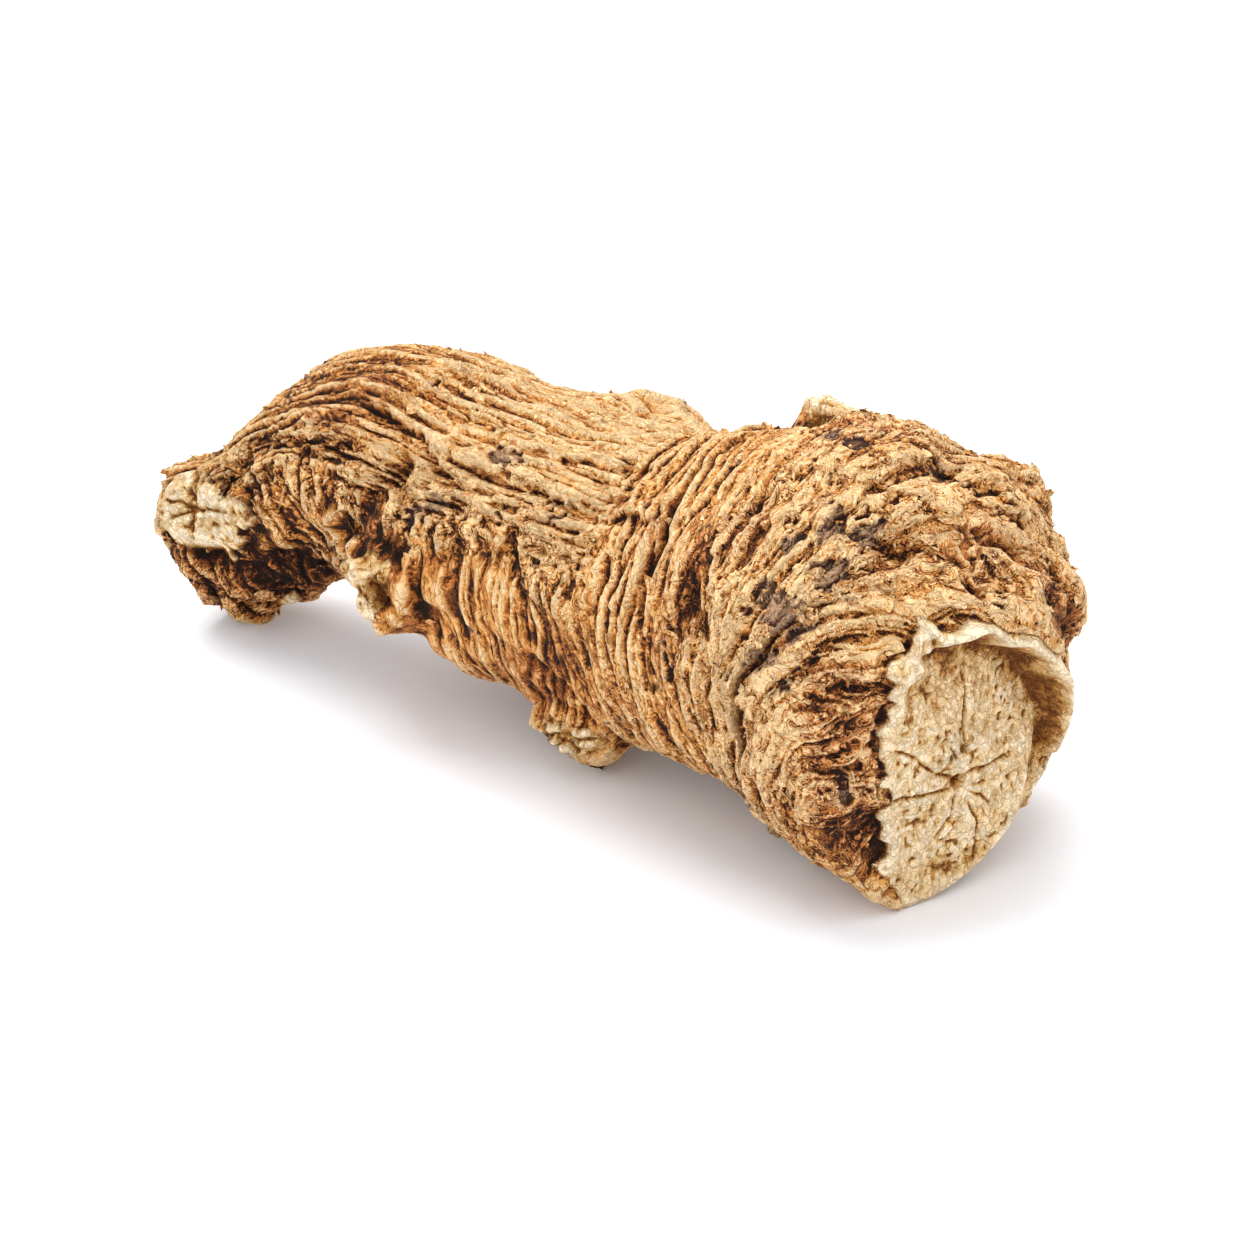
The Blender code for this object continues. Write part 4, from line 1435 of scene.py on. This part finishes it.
@dataclass(frozen=True)
class DryRootFinish:
    """Matte corky bark over grey inner bark, and cream sawn wood, read from the skin's own tones.

    Each ramp runs from the painted shade in the crevices to the painted highlight on the ridges.
    """

    name: str = "dried_root_bark_and_wood"  # peucedanum root, air dried
    # Tan cork, the root's main colour
    bark: tuple = (
        (0.0, "#261104"), (0.14, "#56290E"), (0.3, "#96531B"),
        (0.48, "#CB823A"), (0.68, "#E3A962"), (0.95, "#EFCB98"),
    )
    # Raw orange cork, where the outer layers have torn off
    raw: tuple = (
        (0.0, "#200E04"), (0.18, "#582A0D"), (0.38, "#92501F"),
        (0.58, "#BC7538"), (0.8, "#DBA064"), (1.0, "#EBC592"),
    )
    # Grey-brown inner bark, in the bare patches
    inner: tuple = ((0.0, "#2C170B"), (0.22, "#4E3120"), (0.5, "#7C5A44"), (0.85, "#B8926F"))
    # Cream wood, amber in its hollows
    wood: tuple = ((0.0, "#6E3C10"), (0.25, "#BC8440"), (0.5, "#DFB981"), (0.75, "#EFD0A2"), (1.0, "#F8E3C2"))
    rough: float = 0.82  # dry and dusty, so the light only dulls on it
    specular: float = 0.22
    fibre_depth: float = 0.00022  # metres that fibres and creases stand up
    layer_depth: float = 0.00016  # metres that one torn layer stands up

    def build(self) -> bpy.types.Material:
        """Make the material.

        Returns:
            The material of every piece of the root.
        """
        material = bpy.data.materials.new(self.name)
        material.use_nodes = True
        nodes = NodeBuilder(material.node_tree)
        place = nodes.add("ShaderNodeTexCoord").outputs["Object"]
        # The grain strays by up to 1.3 mm, over 1 mm, so that no line runs straight
        stray = nodes.add("ShaderNodeTexNoise", {"Vector": place, "Scale": 900.0, "Detail": 3.0})
        stray = nodes.vector_maths("MULTIPLY", stray.outputs["Color"], (2.6, 2.6, 2.6))
        grain = nodes.vector_maths("ADD", nodes.attribute("grain", "Vector"), stray)
        names = ("wood", "patch", "tone", "warm", "ringed", "flaky")
        wood, patch, tone, warm, ringed, flaky = (nodes.attribute(name) for name in names)
        # Fibres of the bark, 0.15 mm wide
        fibre = self.drawn(nodes, grain, ringed, 3.4, 0.5)
        # Painted shadow under each torn edge and painted highlight on it, where the bark is flaky
        line, layers = self.torn_layers(nodes, grain, ringed)
        line = nodes.maths("MULTIPLY", line, flaky)
        thread = self.threads(nodes, grain, ringed)
        # Crumbs, 0.3 mm
        crumb = nodes.add(
            "ShaderNodeTexNoise",
            {"Vector": place, "Scale": 2600.0, "Detail": 4.0, "Roughness": 0.65, "Distortion": 0.6},
        ).outputs[0]
        fibre_off, crumb_off = (nodes.maths("SUBTRACT", value, 0.5) for value in (fibre, crumb))
        # Only the loose flakes have a tip: they are paler there
        tip = nodes.attribute("tip")
        spread = nodes.plus_times(nodes.plus_times(tone, tip, 0.16), fibre_off, 0.8)
        # Painted shade darkens the thread lines, and the torn edges get their painted shadow and highlight
        for value, share in ((crumb_off, 0.35), (thread, -0.26), (line, 0.5)):
            spread = nodes.plus_times(spread, value, share)
        spread = nodes.plus_times(-0.13, spread, 1.4, clamp=True)
        bark = nodes.ramp(spread, self.bark)
        bark = nodes.mixed(nodes.eased(warm, 0.42, 0.85), bark, nodes.ramp(spread, self.raw))
        ragged = nodes.plus_times(nodes.plus_times(patch, fibre_off, 1.7), crumb_off, 1.7)
        bark = nodes.mixed(nodes.eased(ragged, -0.08, 0.12), bark, nodes.ramp(spread, self.inner))
        # Fine creases of the dried wood, 0.5 mm apart, darkened with painted shade
        crease = nodes.add("ShaderNodeTexNoise", {"Vector": place, "Scale": 1500.0, "Detail": 3.0}).outputs[0]
        crease = nodes.eased(nodes.maths("ABSOLUTE", nodes.maths("SUBTRACT", crease, 0.5)), 0.04, 0.0)
        grained = nodes.plus_times(nodes.plus_times(tone, crumb_off, 0.7), crease, -0.22)
        sawn = nodes.ramp(nodes.maths("ADD", grained, 0.02, clamp=True), self.wood)
        bare_wood = nodes.eased(nodes.plus_times(wood, crumb_off, 0.5), 0.3, 0.7)
        colour = nodes.mixed(bare_wood, bark, sawn)
        fine = nodes.plus_times(nodes.maths("MULTIPLY", crumb, 0.45), fibre, 1.1)
        cuts = nodes.maths("ADD", thread, nodes.maths("MULTIPLY", crease, wood))
        fine = nodes.plus_times(fine, cuts, -0.5)
        steps = nodes.maths("MULTIPLY", flaky, nodes.maths("SUBTRACT", 1.0, bare_wood))
        steps = nodes.maths("MULTIPLY", layers, steps)
        bump = {"Strength": 0.9, "Distance": self.fibre_depth, "Height": fine}
        bump = {"Normal": nodes.add("ShaderNodeBump", bump).outputs[0], "Strength": 0.9}
        bump = nodes.add("ShaderNodeBump", {**bump, "Distance": self.layer_depth, "Height": steps}).outputs[0]
        dull = {"Roughness": self.rough, "Specular IOR Level": self.specular}
        shader = nodes.add("ShaderNodeBsdfPrincipled", {"Base Color": colour, "Normal": bump, **dull})
        nodes.add("ShaderNodeOutputMaterial", {"Surface": shader.outputs[0]})
        return material

    def torn_layers(self, nodes: NodeBuilder, grain: object, ringed: object) -> tuple:
        """Make the torn layers, 1 mm and 0.4 mm wide, with painted shadow under each edge and painted
        highlight on it.

        Args:
            nodes: Where to add the nodes.
            grain: Place along and round the root, in mm.
            ringed: Share of bark that runs round.

        Returns:
            How pale the painted lines are, from below 0 for shadow to above 0 for highlight, and the shelves'
            height.
        """
        lines, shelves = [], []
        for across, along in ((1.0, 0.3), (2.4, 0.8)):
            height = nodes.maths("MULTIPLY", self.drawn(nodes, grain, ringed, across, along), 7.0)
            part = nodes.maths("FRACT", height)
            cliff = nodes.eased(part, 0.84, 0.94)
            shelves.append(nodes.maths("ADD", nodes.maths("FLOOR", height), cliff))
            # Painted shadow just below each cliff, and painted highlight along its top edge
            under = nodes.maths("MULTIPLY", nodes.eased(part, 0.58, 0.84), nodes.eased(part, 0.95, 0.87))
            edge = nodes.maths("ADD", nodes.eased(part, 0.16, 0.0), nodes.eased(part, 0.93, 0.99))
            lines.append(nodes.plus_times(nodes.maths("MULTIPLY", under, -1.0), edge, 0.35))
        line = nodes.plus_times(nodes.maths("MULTIPLY", lines[1], 0.55), lines[0], 0.75)
        return line, nodes.plus_times(shelves[0], shelves[1], 0.5)

    def threads(self, nodes: NodeBuilder, grain: object, ringed: object) -> bpy.types.NodeSocket:
        """Make the dark hair lines of painted shade between threads of bark, 0.6 mm and 0.25 mm apart.

        Args:
            nodes: Where to add the nodes.
            grain: Place along and round the root, in mm.
            ringed: Share of bark that runs round.

        Returns:
            How dark the painted shade of the lines is, from 0 to 1.
        """
        found = []
        for across, along, width in ((1.5, 0.13, 0.03), (3.6, 0.4, 0.05)):
            off = nodes.maths("SUBTRACT", self.drawn(nodes, grain, ringed, across, along), 0.5)
            found.append(nodes.eased(nodes.maths("ABSOLUTE", off), width, 0.0))
        return nodes.plus_times(nodes.maths("MULTIPLY", found[1], 0.4), found[0], 0.6)

    @staticmethod
    def drawn(nodes: NodeBuilder, grain: object, ringed: object, across: float, along: float) -> object:
        """Make noise that is drawn out along the root, or round it where it is ringed.

        Args:
            nodes: Where to add the nodes.
            grain: Place along and round the root, in mm.
            ringed: Share of noise that runs round.
            across: Bumps to a mm across the fibres.
            along: Bumps to a mm along them.

        Returns:
            The noise's socket, about 0.5 in the middle.
        """
        found = []
        for scale in ((0.4 * along, across, across), (across, along, along)):
            mapped = nodes.add("ShaderNodeMapping", {"Vector": grain, "Scale": scale}).outputs[0]
            values = {"Vector": mapped, "Scale": 1.0, "Detail": 3.0, "Roughness": 0.6, "Distortion": 0.7}
            found.append(nodes.add("ShaderNodeTexNoise", values).outputs[0])
        return nodes.add("ShaderNodeMix", {0: ringed, 2: found[0], 3: found[1]}).outputs[0]


# ---------------------------------------------------------------------------- stage


@dataclass(frozen=True)
class CardFinish:
    """White card, so plain and matte that the eye sees only the root's soft shadow on it."""

    name: str = "white_card"
    colour: str = "#EEF1F7"
    rough: float = 0.9

    def build(self) -> bpy.types.Material:
        """Make the material.

        Returns:
            The material of the floor.
        """
        material = bpy.data.materials.new(self.name)
        material.use_nodes = True
        nodes = NodeBuilder(material.node_tree)
        values = {"Base Color": linear(self.colour), "Roughness": self.rough}
        shader = nodes.add("ShaderNodeBsdfPrincipled", values)
        nodes.add("ShaderNodeOutputMaterial", {"Surface": shader.outputs[0]})
        return material


@dataclass
class Studio:
    """A plain pale floor, soft light from behind and above, and the camera at the photograph's angle."""

    # The camera: what it looks at, from which side and how far, and the width that it sees there, in mm
    target: tuple[float, float, float] = (2.3, -0.9, 7.15)
    azimuth: float = 41.0
    elevation: float = 26.0
    distance: float = 400.0
    frame_width: float = 72.9
    sensor_width: float = 36.0
    # The room, in metres: half the floor's side, the sky's strength, and each light's name, place, side,
    # watts and linear colour
    floor_side: float = 3.0
    sky: float = 1.22
    lights: tuple = (
        ("key", (-0.26, 0.12, 0.62), 0.55, 4.2, (1.0, 0.99, 0.97)),
        ("fill", (0.25, -0.75, 0.40), 0.6, 1.0, (0.98, 0.99, 1.0)),
    )

    def build(self) -> None:
        """Make the floor, the lights, the sky and the camera."""
        scene = bpy.context.scene
        floor_mesh = bpy.data.meshes.new("floor")
        side = self.floor_side
        corners = [(-side, -side, 0), (side, -side, 0), (side, side, 0), (-side, side, 0)]
        floor_mesh.from_pydata(corners, [], [(0, 1, 2, 3)])
        floor = in_scene("floor", floor_mesh)
        floor_mesh.materials.append(CardFinish().build())

        world = bpy.data.worlds.new("studio")
        scene.world = world
        world.use_nodes = True
        sky = world.node_tree.nodes["Background"]
        sky.inputs["Color"].default_value = (1, 1, 1, 1)
        sky.inputs["Strength"].default_value = self.sky
        for settings in self.lights:
            self.light(*settings)

        angle, rise = math.radians(self.azimuth), math.radians(self.elevation)
        back = Vector((math.sin(angle) * math.cos(rise), -math.cos(angle) * math.cos(rise), math.sin(rise)))
        camera = in_scene("camera", bpy.data.cameras.new("camera"))
        camera.location = (Vector(self.target) + back * self.distance) * MM
        camera.rotation_mode = "QUATERNION"
        camera.rotation_quaternion = (-back).to_track_quat("-Z", "Y")
        camera.data.sensor_width = self.sensor_width
        camera.data.lens = self.sensor_width / 2 / (self.frame_width / 2 / self.distance)
        camera.data.clip_start = 0.01
        scene.camera = camera
        scene.view_settings.view_transform = "Standard"

    @staticmethod
    def light(name: str, place: tuple, size: float, power: float, colour: tuple) -> None:
        """Add one soft square light that faces the root.

        Args:
            name: Its name.
            place: Where it is, in metres.
            size: Its side, in metres.
            power: Its power, in watts.
            colour: Its colour, in linear light.
        """
        lamp = bpy.data.lights.new(name, "AREA")
        lamp.shape = "SQUARE"
        lamp.size = size
        lamp.energy = power
        lamp.color = colour
        holder = in_scene(name, lamp)
        holder.location = place
        holder.rotation_mode = "QUATERNION"
        holder.rotation_quaternion = (Vector((0, 0, 0.01)) - Vector(place)).to_track_quat("-Z", "Y")


def main() -> None:
    """Build the dressed root and its stage."""
    logging.basicConfig(level=logging.INFO, format="%(name)s: %(message)s")
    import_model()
    Studio().build()
    root = RootBody()
    body = root.build()
    finish = DryRootFinish().build()
    root.dress(body, finish)
    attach(body, "root")
    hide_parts("peucedanum_root")
    LOG.info("root body: %d triangles", len(body.data.polygons))
    for flakes in ALL_FLAKES:
        piece = flakes.build(body, finish)
        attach(piece, "root")
        LOG.info("%s: %d triangles", piece.name, len(piece.data.polygons))
        body.data.attributes.remove(body.data.attributes[flakes.name])


if __name__ == "__main__":
    main()
